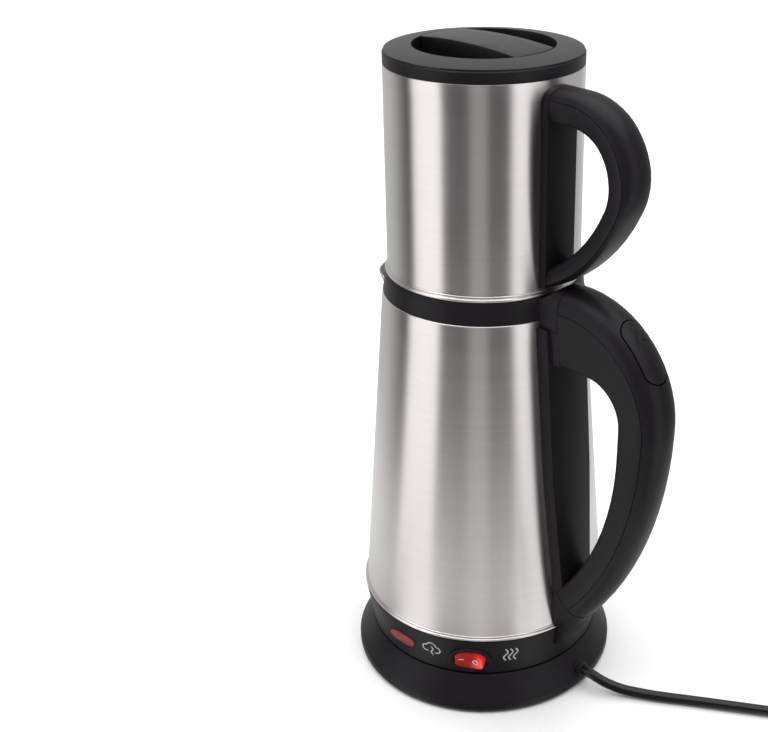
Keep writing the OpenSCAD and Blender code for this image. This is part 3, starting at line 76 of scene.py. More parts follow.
# Millimetres to metres
MM = 0.001


# Shader maths

class Shade:
    """One socket of a node tree, which takes Python arithmetic."""

    def __init__(self, tree, socket=None):
        self.tree = tree
        self.socket = socket

    def add(self, kind, settings=(), sockets=(), output=0):
        """Adds a node of a kind, with its settings and sockets, and returns one of its outputs."""
        node = self.tree.nodes.new(kind)
        for key, value in dict(settings).items():
            setattr(node, key, value)
        for key, value in dict(sockets).items():
            if isinstance(value, Shade):
                self.tree.links.new(value.socket, node.inputs[key])
            else:
                node.inputs[key].default_value = value
        return Shade(self.tree, node.outputs[output])

    def maths(self, operation, first, second):
        return self.add("ShaderNodeMath", {"operation": operation}, {0: first, 1: second})

    def __add__(self, other):
        return self.maths("ADD", self, other)

    def __radd__(self, other):
        return self.maths("ADD", other, self)

    def __sub__(self, other):
        return self.maths("SUBTRACT", self, other)

    def __rsub__(self, other):
        return self.maths("SUBTRACT", other, self)

    def __mul__(self, other):
        return self.maths("MULTIPLY", self, other)

    def __rmul__(self, other):
        return self.maths("MULTIPLY", other, self)

    def mix(self, first, second):
        """A colour between two colours, with this value as the factor."""
        sockets = {0: self, 6: first, 7: second}
        return self.add("ShaderNodeMix", {"data_type": "RGBA"}, sockets, output=2)

    def ranged(self, low, high, to_low=0.0, to_high=1.0):
        """This value taken smoothly from one range to another."""
        sockets = {"Value": self, "From Min": low, "From Max": high, "To Min": to_low, "To Max": to_high}
        return self.add("ShaderNodeMapRange", {"interpolation_type": "SMOOTHSTEP"}, sockets)


# The frame has materials of its own, so the names made here start with this
MATERIAL_PREFIX = "tea_"


def start_material(name):
    """A new material with its shader, and a pen to add nodes with."""
    material = bpy.data.materials.new(MATERIAL_PREFIX + name)
    material.use_nodes = True
    tree = material.node_tree
    return material, tree.nodes["Principled BSDF"], Shade(tree)


def feed(shader, **sockets):
    """Sets or links the sockets of a shader, named with underscores for spaces."""
    for key, value in sockets.items():
        target = shader.inputs[key.replace("_", " ")]
        if isinstance(value, Shade):
            value.tree.links.new(value.socket, target)
        else:
            target.default_value = value


def object_place(pen):
    return pen.add("ShaderNodeTexCoord", output="Object")


def noise(pen, place, scale, detail=3.0, roughness=0.55):
    sockets = {"Vector": place, "Scale": scale, "Detail": detail, "Roughness": roughness}
    return pen.add("ShaderNodeTexNoise", {}, sockets)


def stretched(pen, place, scale):
    return pen.add("ShaderNodeMapping", {}, {"Vector": place, "Scale": scale})


def vector_maths(pen, operation, *inputs, output="Vector"):
    return pen.add("ShaderNodeVectorMath", {"operation": operation}, dict(enumerate(inputs)), output=output)


def bump(pen, height, strength, distance):
    sockets = {"Height": height, "Strength": strength, "Distance": distance}
    return pen.add("ShaderNodeBump", {}, sockets)


def grey(level):
    return (level, level, level, 1.0)


def scaled(colour, factor=1.0):
    """A colour made darker or paler, with its opacity."""
    return (*(Vector(colour[:3]) * factor), 1.0)


# Finishes

def brushed_steel(name):
    """Stainless sheet, brushed round the body."""
    settings = bpy.context.scene.tea_steel
    material, shader, pen = start_material(name)
    place = object_place(pen)
    fine = noise(pen, stretched(pen, place, (16, 16, 2400)), 1.0)
    broad = noise(pen, stretched(pen, place, (5, 5, 380)), 1.0)
    smudge = noise(pen, place, 22.0)
    line = fine * 0.6 + broad * 0.4
    feed(
        shader,
        Base_Color=line.ranged(0.3, 0.7).mix(scaled(settings.colour, 0.94), scaled(settings.colour)),
        Roughness=settings.roughness + (line - 0.5) * 0.1 + (smudge - 0.5) * 0.06,
        Metallic=1.0,
        Anisotropic=settings.anisotropy,
        Anisotropic_Rotation=0.25,
        Normal=bump(pen, line, 0.03, 0.0002),
    )
    return material


def plain_metal(name, colour, roughness, scratch):
    """Turned or stamped metal with fine scratches."""
    material, shader, pen = start_material(name)
    place = object_place(pen)
    marks = noise(pen, stretched(pen, place, (300, 900, 900)), 1.0)
    stain = noise(pen, place, 60.0)
    feed(
        shader,
        Base_Color=stain.ranged(0.35, 0.7).mix(scaled(colour, 0.82), scaled(colour)),
        Roughness=roughness + (marks - 0.5) * 0.2,
        Metallic=1.0,
        Normal=bump(pen, marks, scratch, 0.0001),
    )
    return material


def moulded_plastic(name, colour, roughness, grain, gloss=0.5):
    """Moulded plastic with a fine spark-eroded grain and a slow drift of its gloss."""
    material, shader, pen = start_material(name)
    place = object_place(pen)
    pits = noise(pen, place, 2300.0, 2.0)
    drift = noise(pen, place, 28.0)
    feed(
        shader,
        Base_Color=drift.ranged(0.35, 0.65).mix(scaled(colour, 0.8), scaled(colour)),
        Roughness=roughness + (drift - 0.5) * 0.08 + (pits - 0.5) * 0.1,
        Specular_IOR_Level=gloss,
        Normal=bump(pen, pits, grain, 0.00008),
    )
    return material


def soft_rubber(name, colour, roughness, gloss):
    """Rubber or cord sheath with a dusty bloom."""
    material, shader, pen = start_material(name)
    place = object_place(pen)
    bloom = noise(pen, place, 420.0, 4.0)
    feed(
        shader,
        Base_Color=bloom.ranged(0.4, 0.75).mix(scaled(colour), scaled(colour, 1.5)),
        Roughness=roughness + (bloom - 0.5) * 0.2,
        Specular_IOR_Level=gloss,
        Normal=bump(pen, bloom, 0.12, 0.0001),
    )
    return material


def red_rocker(name):
    """Red see-through plastic with a painted glow: the raised end is painted brighter and glows more than the
    pressed one, as a painted highlight.
    """
    settings = bpy.context.scene.tea_panel
    material, shader, pen = start_material(name)
    place = object_place(pen)
    middle = SWITCH_FRAME.to_translation()
    across = SWITCH_FRAME.to_3x3() @ Vector((0, 1, 0))
    offset = vector_maths(pen, "SUBTRACT", place, middle)
    along = vector_maths(pen, "DOT_PRODUCT", offset, across, output="Value")
    haze = noise(pen, place, 900.0)
    # Painted highlight and painted glow: brighter colour and more emission towards the raised end
    end = along.ranged(0, ROCKER_PAINTED_GLOW_FADE)
    feed(
        shader,
        Base_Color=end.mix(scaled(settings.rocker_colour, 0.8), scaled(settings.rocker_colour)),
        Roughness=0.2 + (haze - 0.5) * 0.1,
        Coat_Weight=0.25,
        Coat_Roughness=0.1,
        Emission_Color=end.mix((0.05, 0.001, 0.002, 1.0), (0.5, 0.008, 0.003, 1.0)),
        Emission_Strength=settings.rocker_glow,
    )
    return material


def red_lens(name):
    """Dull red lens of the pilot lamp, ribbed inside."""
    colour = bpy.context.scene.tea_panel.lens_colour
    material, shader, pen = start_material(name)
    place = object_place(pen)
    ribs = noise(pen, stretched(pen, place, (900, 900, 40)), 1.0, 1.0)
    feed(
        shader,
        Base_Color=ribs.ranged(0.35, 0.65).mix(scaled(colour, 0.9), scaled(colour)),
        Roughness=0.34 + (ribs - 0.5) * 0.06,
        Specular_IOR_Level=0.3,
        Coat_Weight=0.15,
        Normal=bump(pen, ribs, 0.03, 0.0001),
    )
    return material


def printed_ink(name, setting):
    """Pad-printed ink in a colour of the panel's settings, a little worn."""
    tone = getattr(bpy.context.scene.tea_panel, setting)
    material, shader, pen = start_material(name)
    worn = noise(pen, object_place(pen), 1500.0)
    feed(
        shader,
        Base_Color=worn.ranged(0.3, 0.6).mix(scaled(tone, 0.85), scaled(tone)),
        Roughness=0.5 + (worn - 0.5) * 0.2,
    )
    return material


def lamp_glass(name):
    """Frosted glass of the small lamp."""
    material, shader, pen = start_material(name)
    frost = noise(pen, object_place(pen), 700.0)
    feed(
        shader,
        Base_Color=frost.mix((0.8, 0.5, 0.42, 1.0), (0.9, 0.68, 0.6, 1.0)),
        Roughness=0.25 + frost * 0.2,
    )
    return material


BLACK = (0.0105, 0.0089, 0.0108)
# What makes each finish, and the values that it takes
FINISHES = {
    "brushed_steel": (brushed_steel,),
    "black_plastic": (moulded_plastic, BLACK, 0.4, 0.16, 0.15),
    "lid_plastic": (moulded_plastic, BLACK, 0.36, 0.1, 0.36),
    "inner_plastic": (moulded_plastic, (0.022, 0.022, 0.024), 0.5, 0.2),
    "pale_plastic": (moulded_plastic, (0.62, 0.58, 0.5), 0.45, 0.1),
    "lead_sleeve": (moulded_plastic, (0.7, 0.69, 0.65), 0.6, 0.25),
    "rubber": (soft_rubber, (0.007, 0.007, 0.0075), 0.52, 0.3),
    "cord_sheath": (soft_rubber, (0.004, 0.004, 0.0043), 0.3, 0.3),
    "plain_metal": (plain_metal, (0.55, 0.55, 0.54), 0.32, 0.08),
    "heat_plate_metal": (plain_metal, (0.42, 0.42, 0.43), 0.42, 0.15),
    "brass": (plain_metal, (0.66, 0.46, 0.19), 0.3, 0.08),
    "red_rocker": (red_rocker,),
    "red_lens": (red_lens,),
    "printed_mark": (printed_ink, "mark_colour"),
    "rocker_ink": (printed_ink, "rocker_ink"),
    "lamp_glass": (lamp_glass,),
}


def finish(name):
    """The material of a finish, made at its first use."""
    maker, *values = FINISHES[name]
    return bpy.data.materials.get(MATERIAL_PREFIX + name) or maker(name, *values)


# Mesh helpers

# Edges stay sharp where their faces turn by more than this many degrees: in general, on the handles, on thin
# bands and prints, and on the raised arrow
SHARP_TURN = 32
HANDLE_TURN = 38
THIN_TURN = 40
ARROW_TURN = 20
# Points nearer than these are one point: in a CAD mesh, and in a mesh made here
CAD_MERGE = 0.02 * MM
OWN_MERGE = 0.001 * MM


def shade_by_angle(bm, limit=SHARP_TURN):
    """Smooth faces, with edges kept sharp where the faces turn by more than a limit in degrees."""
    bm.normal_update()
    for face in bm.faces:
        face.smooth = True
    for edge in bm.edges:
        edge.smooth = len(edge.link_faces) == 2 and edge.calc_face_angle() < radians(limit)


def new_object(name, data):
    """A new object of the scene."""
    item = bpy.data.objects.new(name, data)
    bpy.context.scene.collection.objects.link(item)
    return item


def mesh_object(name, bm, material=None):
    """A new object from a mesh under work, which is let go."""
    mesh = bpy.data.meshes.new(name)
    bm.to_mesh(mesh)
    bm.free()
    if material:
        mesh.materials.append(material)
    return new_object(name, mesh)


def place_piece(name, bm, finish_name, body, nodes=()):
    """Makes a mesh a piece that rides on a body and stands for CAD nodes."""
    piece = mesh_object(name, bm, finish(finish_name))
    settle(piece, body, nodes)
    return piece


def settle(piece, body, nodes=()):
    """Puts a piece on its body, and hides the nodes that it stands for."""
    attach(piece, body)
    if nodes:
        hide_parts(*nodes)


def smooth_copy(node, finish_name, limit=SHARP_TURN, rounding=0.0, above=None):
    """A merged copy of a CAD node with smooth faces, which stands for it.

    Its sharp edges are rounded, everywhere or only above a height.
    """
    source = frame["nodes"][node]
    bm = bmesh.new()
    bm.from_mesh(source.data)
    bmesh.ops.remove_doubles(bm, verts=bm.verts[:], dist=CAD_MERGE)
    if rounding:
        round_edges(bm, limit, rounding, above)
    shade_by_angle(bm, limit)
    return place_piece(node + "_skin", bm, finish_name, source["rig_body"], [node])


def round_edges(bm, limit, rounding, above):
    """Rounds the outward edges that turn by more than a limit in degrees."""
    bmesh.ops.dissolve_limit(bm, angle_limit=radians(1), verts=bm.verts[:], edges=bm.edges[:])
    bm.normal_update()
    sharp = []
    for edge in bm.edges:
        high = above is None or min(v.co.z for v in edge.verts) > above
        if high and edge.is_convex and edge.calc_face_angle() > radians(limit):
            sharp.append(edge)
    bmesh.ops.bevel(
        bm, geom=sharp, offset=rounding, offset_type="OFFSET", segments=3, profile=0.5, affect="EDGES",
        clamp_overlap=True)


def dress(node, finish_name):
    """Gives a CAD node its material and leaves its shape alone."""
    materials = frame["nodes"][node].data.materials
    materials.clear()
    materials.append(finish(finish_name))


def rounded_outline(corners, steps=4):
    """Points of a closed outline from corners (x, y, radius) in millimetres."""
    points = []
    for i, (x, y, radius) in enumerate(corners):
        here = Vector((x, y)) * MM
        back = Vector(corners[i - 1][:2]) * MM - here
        ahead = Vector(corners[(i + 1) % len(corners)][:2]) * MM - here
        if radius == 0:
            points.append(here)
            continue
        cut = min(radius * MM / tan(back.angle(ahead) / 2), 0.49 * back.length, 0.49 * ahead.length)
        start = here + back.normalized() * cut
        end = here + ahead.normalized() * cut
        for k in range(steps + 1):
            t = k / steps
            points.append(start * (1 - t) ** 2 + here * (2 * t * (1 - t)) + end * t * t)
    return points


def turned(outline, segments, turn=None):
    """A closed outline of radius and height turned round Z, then placed by a matrix."""
    bm = bmesh.new()
    rings = []
    for k in range(segments):
        a = 2 * pi * k / segments
        rings.append([bm.verts.new((p.x * cos(a), p.x * sin(a), p.y)) for p in outline])
    bridge(bm, rings, True)
    bmesh.ops.remove_doubles(bm, verts=bm.verts[:], dist=OWN_MERGE)
    bmesh.ops.dissolve_degenerate(bm, edges=bm.edges[:], dist=OWN_MERGE)
    bmesh.ops.recalc_face_normals(bm, faces=bm.faces[:])
    shade_by_angle(bm)
    if turn is not None:
        bmesh.ops.transform(bm, matrix=turn, verts=bm.verts[:])
    return bm


def bridge(bm, rings, closed):
    """Faces between neighbouring rings of vertices."""
    count = len(rings)
    for i in range(count if closed else count - 1):
        here = rings[i]
        there = rings[(i + 1) % count]
        for j in range(len(here)):
            k = (j + 1) % len(here)
            bm.faces.new((here[j], there[j], there[k], here[k]))


def smooth_path(points, per):
    """A smooth line through points, with a number of steps between each two."""
    path = []
    for i in range(len(points) - 1):
        a = points[max(i - 1, 0)]
        b = points[i]
        c = points[i + 1]
        d = points[min(i + 2, len(points) - 1)]
        for k in range(per):
            t = k / per
            path.append(
                0.5 * (2 * b + (c - a) * t + (2 * a - 5 * b + 4 * c - d) * t ** 2
                       + (3 * b - a - 3 * c + d) * t ** 3)
            )
    path.append(points[-1])
    return path


def heading(angle):
    """The level direction at a compass angle."""
    return Vector((cos(angle), sin(angle), 0))


def line_length(path):
    return sum((b - a).length for a, b in zip(path, path[1:]))


# Repeats on points, as a node tree

def repeat_tree():
    """A node tree that puts one shape on every point, turned by the point's own angles."""
    tree = bpy.data.node_groups.new("repeat_on_points", "GeometryNodeTree")
    face = tree.interface
    face.new_socket("Geometry", in_out="INPUT", socket_type="NodeSocketGeometry")
    face.new_socket("Shape", in_out="INPUT", socket_type="NodeSocketObject")
    face.new_socket("Size", in_out="INPUT", socket_type="NodeSocketFloat")
    face.new_socket("Finish", in_out="INPUT", socket_type="NodeSocketMaterial")
    face.new_socket("Geometry", in_out="OUTPUT", socket_type="NodeSocketGeometry")
    entry = tree.nodes.new("NodeGroupInput")
    leave = tree.nodes.new("NodeGroupOutput")
    shape = tree.nodes.new("GeometryNodeObjectInfo")
    angles = tree.nodes.new("GeometryNodeInputNamedAttribute")
    angles.data_type = "FLOAT_VECTOR"
    angles.inputs["Name"].default_value = "turn"
    copies = tree.nodes.new("GeometryNodeInstanceOnPoints")
    real = tree.nodes.new("GeometryNodeRealizeInstances")
    coat = tree.nodes.new("GeometryNodeSetMaterial")
    link = tree.links.new
    link(entry.outputs["Geometry"], copies.inputs["Points"])
    link(entry.outputs["Shape"], shape.inputs["Object"])
    link(shape.outputs["Geometry"], copies.inputs["Instance"])
    link(angles.outputs["Attribute"], copies.inputs["Rotation"])
    link(entry.outputs["Size"], copies.inputs["Scale"])
    link(copies.outputs["Instances"], real.inputs["Geometry"])
    link(real.outputs["Geometry"], coat.inputs["Geometry"])
    link(entry.outputs["Finish"], coat.inputs["Material"])
    link(coat.outputs["Geometry"], leave.inputs["Geometry"])
    return tree


def repeated(name, shape_bm, spots, size, finish_name, body, nodes=()):
    """One piece made of copies of a shape at spots (place, Euler turn)."""
    tree = bpy.data.node_groups.get("repeat_on_points") or repeat_tree()
    shape = mesh_object(name + "_shape", shape_bm)
    points = bpy.data.meshes.new(name + "_points")
    points.from_pydata([spot for spot, _ in spots], [], [])
    turns = points.attributes.new("turn", "FLOAT_VECTOR", "POINT")
    for item, (_, turn) in zip(turns.data, spots):
        item.vector = turn
    carrier = new_object(name + "_carrier", points)
    modifier = carrier.modifiers.new("repeat", "NODES")
    modifier.node_group = tree
    values = {"Shape": shape, "Size": size, "Finish": finish(finish_name)}
    for socket in tree.interface.items_tree:
        if socket.in_out == "INPUT" and socket.name in values:
            modifier[socket.identifier] = values[socket.name]
    bpy.context.view_layer.update()
    graph = bpy.context.evaluated_depsgraph_get()
    mesh = bpy.data.meshes.new_from_object(carrier.evaluated_get(graph))
    mesh.name = name
    carrier.modifiers.remove(modifier)
    bpy.data.objects.remove(carrier)
    bpy.data.objects.remove(shape)
    piece = new_object(name, mesh)
    settle(piece, body, nodes)
    return piece


# Places on the skirt

# Radius and height of the skirt's lower and upper edge, in millimetres
SKIRT_FOOT = (68.0, 22.8)
SKIRT_HEAD = (72.0, 47.5)
# Angle round the skirt in degrees and height in millimetres
SWITCH_PLACE = (-50.5, 33.174)
CLOUD_PLACE = (-69.3, 36.5)
WAVES_PLACE = (-31.5, 36.4)


def skirt_radius(z):
    """Outer radius of the skirt at a height, in millimetres."""
    share = (z - SKIRT_FOOT[1]) / (SKIRT_HEAD[1] - SKIRT_FOOT[1])
    return SKIRT_FOOT[0] + (SKIRT_HEAD[0] - SKIRT_FOOT[0]) * share


SKIRT_SLOPE = atan2(SKIRT_HEAD[0] - SKIRT_FOOT[0], SKIRT_HEAD[1] - SKIRT_FOOT[1])


def skirt_frame(angle, z):
    """A frame on the skirt: X down the slope, Y to the right and Z outwards, in metres."""
    move = Matrix.Translation((skirt_radius(z) * MM, 0, z * MM))
    return Matrix.Rotation(radians(angle), 4, "Z") @ move @ Matrix.Rotation(pi / 2 + SKIRT_SLOPE, 4, "Y")


SWITCH_FRAME = skirt_frame(*SWITCH_PLACE)
# The rocker's painted glow and painted highlight rise over this length from its middle towards the raised end
ROCKER_PAINTED_GLOW_FADE = 7 * MM


# Settings

class StageSettings(PropertyGroup):
    """Camera, floor and light."""

    focal: FloatProperty(
        name="Focal length", description="Lens of the camera in millimetres", default=58.45)
    eye: FloatVectorProperty(
        name="Camera place", description="Where the camera stands",
        default=(0.4532, -0.4376, 0.4962), subtype="TRANSLATION", unit="LENGTH")
    pitch: FloatProperty(
        name="Pitch", description="How far the camera looks down", default=radians(26.3), subtype="ANGLE")
    shift: FloatProperty(
        name="Shift", description="Sideways shift of the picture", default=-0.1302)
    floor_size: FloatProperty(
        name="Floor", description="Width of the floor", default=16.0, unit="LENGTH")
    top_light: FloatProperty(
        name="Top light", description="Strength of the wide light overhead", default=3.0)
    glow_reach: FloatProperty(
        name="Table glow", description="How far the table shows in the steel", default=0.5, unit="LENGTH")
    glow: FloatProperty(
        name="Table brightness", description="How bright the table looks in the steel", default=1.12)
    sky: FloatProperty(
        name="Room light", description="Strength of the room's light", default=1.0)
    dark: FloatProperty(
        name="Dark room", description="Light between the soft boxes", default=0.05)


class SteelSettings(PropertyGroup):
    """Brushed steel of the kettle and the teapot."""

    colour: FloatVectorProperty(
        name="Steel", description="Colour of the brushed steel", default=(0.672, 0.642, 0.637),
        subtype="COLOR")
    roughness: FloatProperty(
        name="Roughness", description="How far the steel spreads reflections", default=0.3, subtype="FACTOR")
    anisotropy: FloatProperty(
        name="Brushing", description="How much longer reflections are along the body", default=0.9,
        subtype="FACTOR")


class PanelSettings(PropertyGroup):
    """Switch, pilot lens and printed marks."""

    rocker_colour: FloatVectorProperty(
        name="Rocker", description="Colour of the switch rocker", default=(0.36, 0.011, 0.011),
        subtype="COLOR")
    # Strength of the painted glow on the rocker
    rocker_glow: FloatProperty(
        name="Glow", description="Strength of the lamp in the rocker", default=0.9)
    lens_colour: FloatVectorProperty(
        name="Lens", description="Colour of the pilot lens", default=(0.25, 0.03, 0.031), subtype="COLOR")
    mark_colour: FloatVectorProperty(
        name="Marks", description="Colour of the printed marks", default=(0.46, 0.45, 0.47), subtype="COLOR")
    rocker_ink: FloatVectorProperty(
        name="Rocker marks", description="Colour of the marks on the rocker", default=(0.72, 0.6, 0.58),
        subtype="COLOR")
    mark_width: FloatProperty(
        name="Line width", description="Width of a printed line", default=0.74 * MM, unit="LENGTH")


class CordSettings(PropertyGroup):
    """Mains cord with its coil."""

    diameter: FloatProperty(
        name="Diameter", description="Thickness of the cord", default=6 * MM, unit="LENGTH")
    coil_radius: FloatProperty(
        name="Coil", description="Outer radius of the coil", default=38 * MM, unit="LENGTH")
    coil_turns: FloatProperty(
        name="Turns", description="Turns of the coil", default=2.4)
    coil_pitch: FloatProperty(
        name="Pitch", description="Distance between neighbouring turns", default=6.6 * MM, unit="LENGTH")


class ShapeSettings(PropertyGroup):
    """Fineness of the shapes."""

    segments: IntProperty(
        name="Segments", description="Steps round the shell of the base", default=160)


# Stage

# Soft boxes round the object, in degrees: compass angle, half width of the even middle, half width with the
# faded edge; then the strength
SOFT_BOXES = {
    "key": (-112.5, 15.5, 23, 1.4),
    "fill": (8, 14, 25, 1.25),
    "panel": (-50, 4, 14, 0.29),
    "wall": (158, 16, 66, 0.6),
    "side": (82, 22, 42, 0.5),
}
# Width of the camera's sensor in millimetres, and how far the camera sees
SENSOR_WIDTH = 36.0
CLIP_END = 60.0
# Radius of the white wall as a share of the floor's width
WALL_SHARE = 0.49
# The floor and its glow lie this far under the object's feet
FLOOR_DROP = 0.05 * MM
GLOW_DROP = 0.04 * MM
# The glow is dark up to the first distance and full from the second: painted shadow and painted reflection of
# the dark base round the object's foot
GLOW_START = (0.1, 0.2)
TOP_LIGHT_SPREAD = radians(80)
TOP_LIGHT_HEIGHT = 2.0


class TEAMAKER_OT_stage(Operator):
    """Camera, pale floor and soft studio light"""

    bl_idname = "tea_maker.stage"
    bl_label = "Stage"

    def execute(self, context):
        settings = context.scene.tea_stage
        self.camera(context, settings)
        self.floor(settings)
        self.backdrop(settings)
        self.table_glow(settings)
        self.room(context, settings)
        self.light(settings)
        context.scene.view_settings.view_transform = "Standard"
        return {"FINISHED"}

    def camera(self, context, settings):
        lens = bpy.data.cameras.new("photo_camera")
        lens.lens = settings.focal
        lens.sensor_width = SENSOR_WIDTH
        lens.shift_x = settings.shift
        lens.clip_end = CLIP_END
        camera = new_object("photo_camera", lens)
        eye = Vector(settings.eye)
        camera.location = eye
        camera.rotation_euler = (pi / 2 - settings.pitch, 0, atan2(eye.x, -eye.y))
        context.scene.camera = camera

    def floor(self, settings):
        bm = bmesh.new()
        bmesh.ops.create_grid(bm, x_segments=8, y_segments=8, size=settings.floor_size / 2)
        bmesh.ops.translate(bm, vec=(0, 0, -FLOOR_DROP), verts=bm.verts[:])
        material, shader, pen = start_material("floor")
        tone = noise(pen, object_place(pen), 3.0)
        feed(shader, Base_Color=tone.mix(grey(0.86), grey(0.9)), Roughness=0.9)
        floor = mesh_object("floor", bm, material)
        floor.visible_glossy = False

    def backdrop(self, settings):
        """A white wall round the floor, which only the camera sees."""
        bm = bmesh.new()
        radius = settings.floor_size * WALL_SHARE
        bmesh.ops.create_cone(
            bm, cap_ends=False, segments=96, radius1=radius, radius2=radius, depth=settings.floor_size)
        material, shader, pen = start_material("backdrop")
        tone = noise(pen, object_place(pen), 0.4)
        white = tone.mix(grey(0.97), grey(1.0))
        feed(shader, Base_Color=grey(0.0), Emission_Color=white, Emission_Strength=1.0)
        wall = mesh_object("backdrop", bm, material)
        wall.visible_diffuse = False
        wall.visible_glossy = False
        wall.visible_shadow = False

    def table_glow(self, settings):
        """The white table as the steel shows it.

        It is a disc that only reflections see, a painted reflection of the table, with painted shadow that
        makes it dark by the object's foot.
        """
        bm = bmesh.new()
        bmesh.ops.create_circle(bm, cap_ends=True, segments=64, radius=settings.glow_reach)
        bmesh.ops.translate(bm, vec=(0, 0, -GLOW_DROP), verts=bm.verts[:])
        material, shader, pen = start_material("table_glow")
        far = vector_maths(pen, "LENGTH", object_place(pen), output="Value")
        white = pen.add("ShaderNodeEmission", {}, {"Color": grey(1.0), "Strength": settings.glow})
        clear = pen.add("ShaderNodeBsdfTransparent")
        first, full = GLOW_START
        # Painted shadow and painted reflection of the dark base: the reflected table is dark round the
        # object's foot
        painted_reflection_mask = far.ranged(first, full) * far.ranged(full, settings.glow_reach, 1.0, 0.0)
        blend = pen.add("ShaderNodeMixShader", {}, {0: painted_reflection_mask, 1: clear, 2: white})
        pen.tree.links.new(blend.socket, pen.tree.nodes["Material Output"].inputs["Surface"])
        pen.tree.nodes.remove(shader)
        disc = mesh_object("table_glow", bm, material)
        disc.visible_camera = False
        disc.visible_diffuse = False
        disc.visible_shadow = False

    def room(self, context, settings):
        """Tall soft boxes round the object, and a dark room between them."""
        world = bpy.data.worlds.new("room")
        world.use_nodes = True
        context.scene.world = world
        tree = world.node_tree
        pen = Shade(tree)
        look = pen.add("ShaderNodeTexCoord", output="Generated")
        flat = vector_maths(pen, "MULTIPLY", look, (1, 1, 0))
        way = vector_maths(pen, "NORMALIZE", flat)
        level = settings.dark
        for angle, inner, outer, strength in SOFT_BOXES.values():
            close = vector_maths(pen, "DOT_PRODUCT", way, heading(radians(angle)), output="Value")
            level = level + close.ranged(cos(radians(outer)), cos(radians(inner))) * strength
        feed(tree.nodes["Background"], Color=grey(1.0), Strength=level * settings.sky)

    def light(self, settings):
        """One wide soft light from straight above, even over the whole floor."""
        lamp = bpy.data.lights.new("top_light", "SUN")
        lamp.energy = settings.top_light
        lamp.angle = TOP_LIGHT_SPREAD
        new_object("top_light", lamp).location = (0, 0, TOP_LIGHT_HEIGHT)


# Cord

# Points of the free length from the gland, in millimetres
ROUTE = (
    (76.5, 7.0, 10.5), (83, 7.6, 10.2), (91, 10, 7.8), (99.5, 15, 5), (108.5, 21.3, 3.6), (118.5, 28, 3.2),
    (132.4, 37.9, 3.1), (146.5, 47.6, 3.1), (158.2, 55.6, 3.1), (168.4, 62.6, 3.1), (180, 70.5, 3.4),
    (192, 78.7, 4), (205, 87.6, 4.4),
)
# Heights of the tail's points over the coil in millimetres, and the step between them
TAIL_RISE = (0, 0.6, 2.6, 5, 6.4, 7)
TAIL_STEP = 9 * MM
# Points in one turn of the coil, room between its two layers, and the share of a turn in which it climbs
COIL_RINGS = 24
LAYER_ROOM = 0.6 * MM
CLIMB_SHARE = 0.5
# Outlines turned round a line: radius, place along the line and rounding, in millimetres
GLAND_COLLAR = ((0, 46, 0), (3.4, 46, 0.4), (5.2, 60.5, 0.6), (5.2, 63.5, 0.4), (4.4, 63.6, 0))
GLAND_END = ((4.2, 77, 0.3), (4.0, 77.4, 0.3), (0, 77.4, 0))
PLUG_START = ((0, 0, 0), (3.9, 0, 0.4))
PLUG_GRIP = (
    (6, 17.5, 0.4), (9, 19, 1.0), (12.5, 42, 1.2), (16.5, 42, 0.6), (18, 43.5, 1.0), (18, 56.2, 0.8),
    (17, 57, 0.5), (0, 57, 0),
)
# Steps round the gland and the plug, and in a corner of their outlines and of the tie
GLAND_STEPS = 48
PLUG_STEPS = 64
CORNER_STEPS = 3
TIE_CORNER_STEPS = 5
# The gland's line: angle round the base and height
GLAND_ANGLE = radians(5.2)
GLAND_HEIGHT = 10.5 * MM
# Ribs of a strain relief, and the slope and rounding at the floor of a groove, in millimetres
RELIEF_RIBS = 5
RIB_SLOPE = 0.2
# Turn of the coil at which the tie sits, its room round the cord, thickness, width and corner in millimetres
TIE_TURN = 0.62
TIE_ROOM = 0.4 * MM
TIE_THICK = 0.8 * MM
TIE_WIDTH = 5 * MM
TIE_CORNER = 2.4


def relief_ribs(start, pitch, crest, radius, growth, groove, rounding):
    """Corners of the ribs of a strain relief: a crest and a groove in each pitch."""
    corners = []
    for rib in range(RELIEF_RIBS):
        z = start + pitch * rib
        r = radius + growth * rib
        root = r - groove
        corners += [(r, z, rounding), (r, z + crest, rounding)]
        corners += [(root, z + crest + RIB_SLOPE, RIB_SLOPE), (root, z + pitch - RIB_SLOPE, RIB_SLOPE)]
    return corners


def ease(t):
    """A share from 0 to 1 that starts and ends gently."""
    t = min(max(t, 0.0), 1.0)
    return t * t * (3 - 2 * t)


class CordRoute:
    """The cord's middle line, from the gland to the plug, in metres."""

    def __init__(self, settings):
        free = [Vector(p) * MM for p in ROUTE]
        d = settings.diameter
        start = free[-1]
        last = start - free[-2]
        way = atan2(last.y, last.x)
        mid = settings.coil_turns / 2
        self.radius_at = lambda u: settings.coil_radius - settings.coil_pitch * (mid - abs(u - mid))
        self.centre = start + d * heading(way) + settings.coil_radius * heading(way - pi / 2)
        self.way = way
        climb = d + LAYER_ROOM
        steps = int(settings.coil_turns * COIL_RINGS)
        coil = []
        for i in range(steps + 1):
            u = settings.coil_turns * i / steps
            lift = Vector((0, 0, climb * ease((u - mid) / CLIMB_SHARE + 0.5)))
            coil.append(self.centre + self.radius_at(u) * heading(way + pi / 2 - 2 * pi * u) + lift)
        self.end_way = way - 2 * pi * settings.coil_turns
        tail_start = coil[-1] + d * heading(self.end_way)
        tail = [
            tail_start + i * TAIL_STEP * heading(self.end_way) + Vector((0, 0, rise * MM))
            for i, rise in enumerate(TAIL_RISE)
        ]
        self.low = start.z
        self.high = start.z + climb
        self.plug = tail[-1]
        self.path = smooth_path(free + coil + tail, 3)


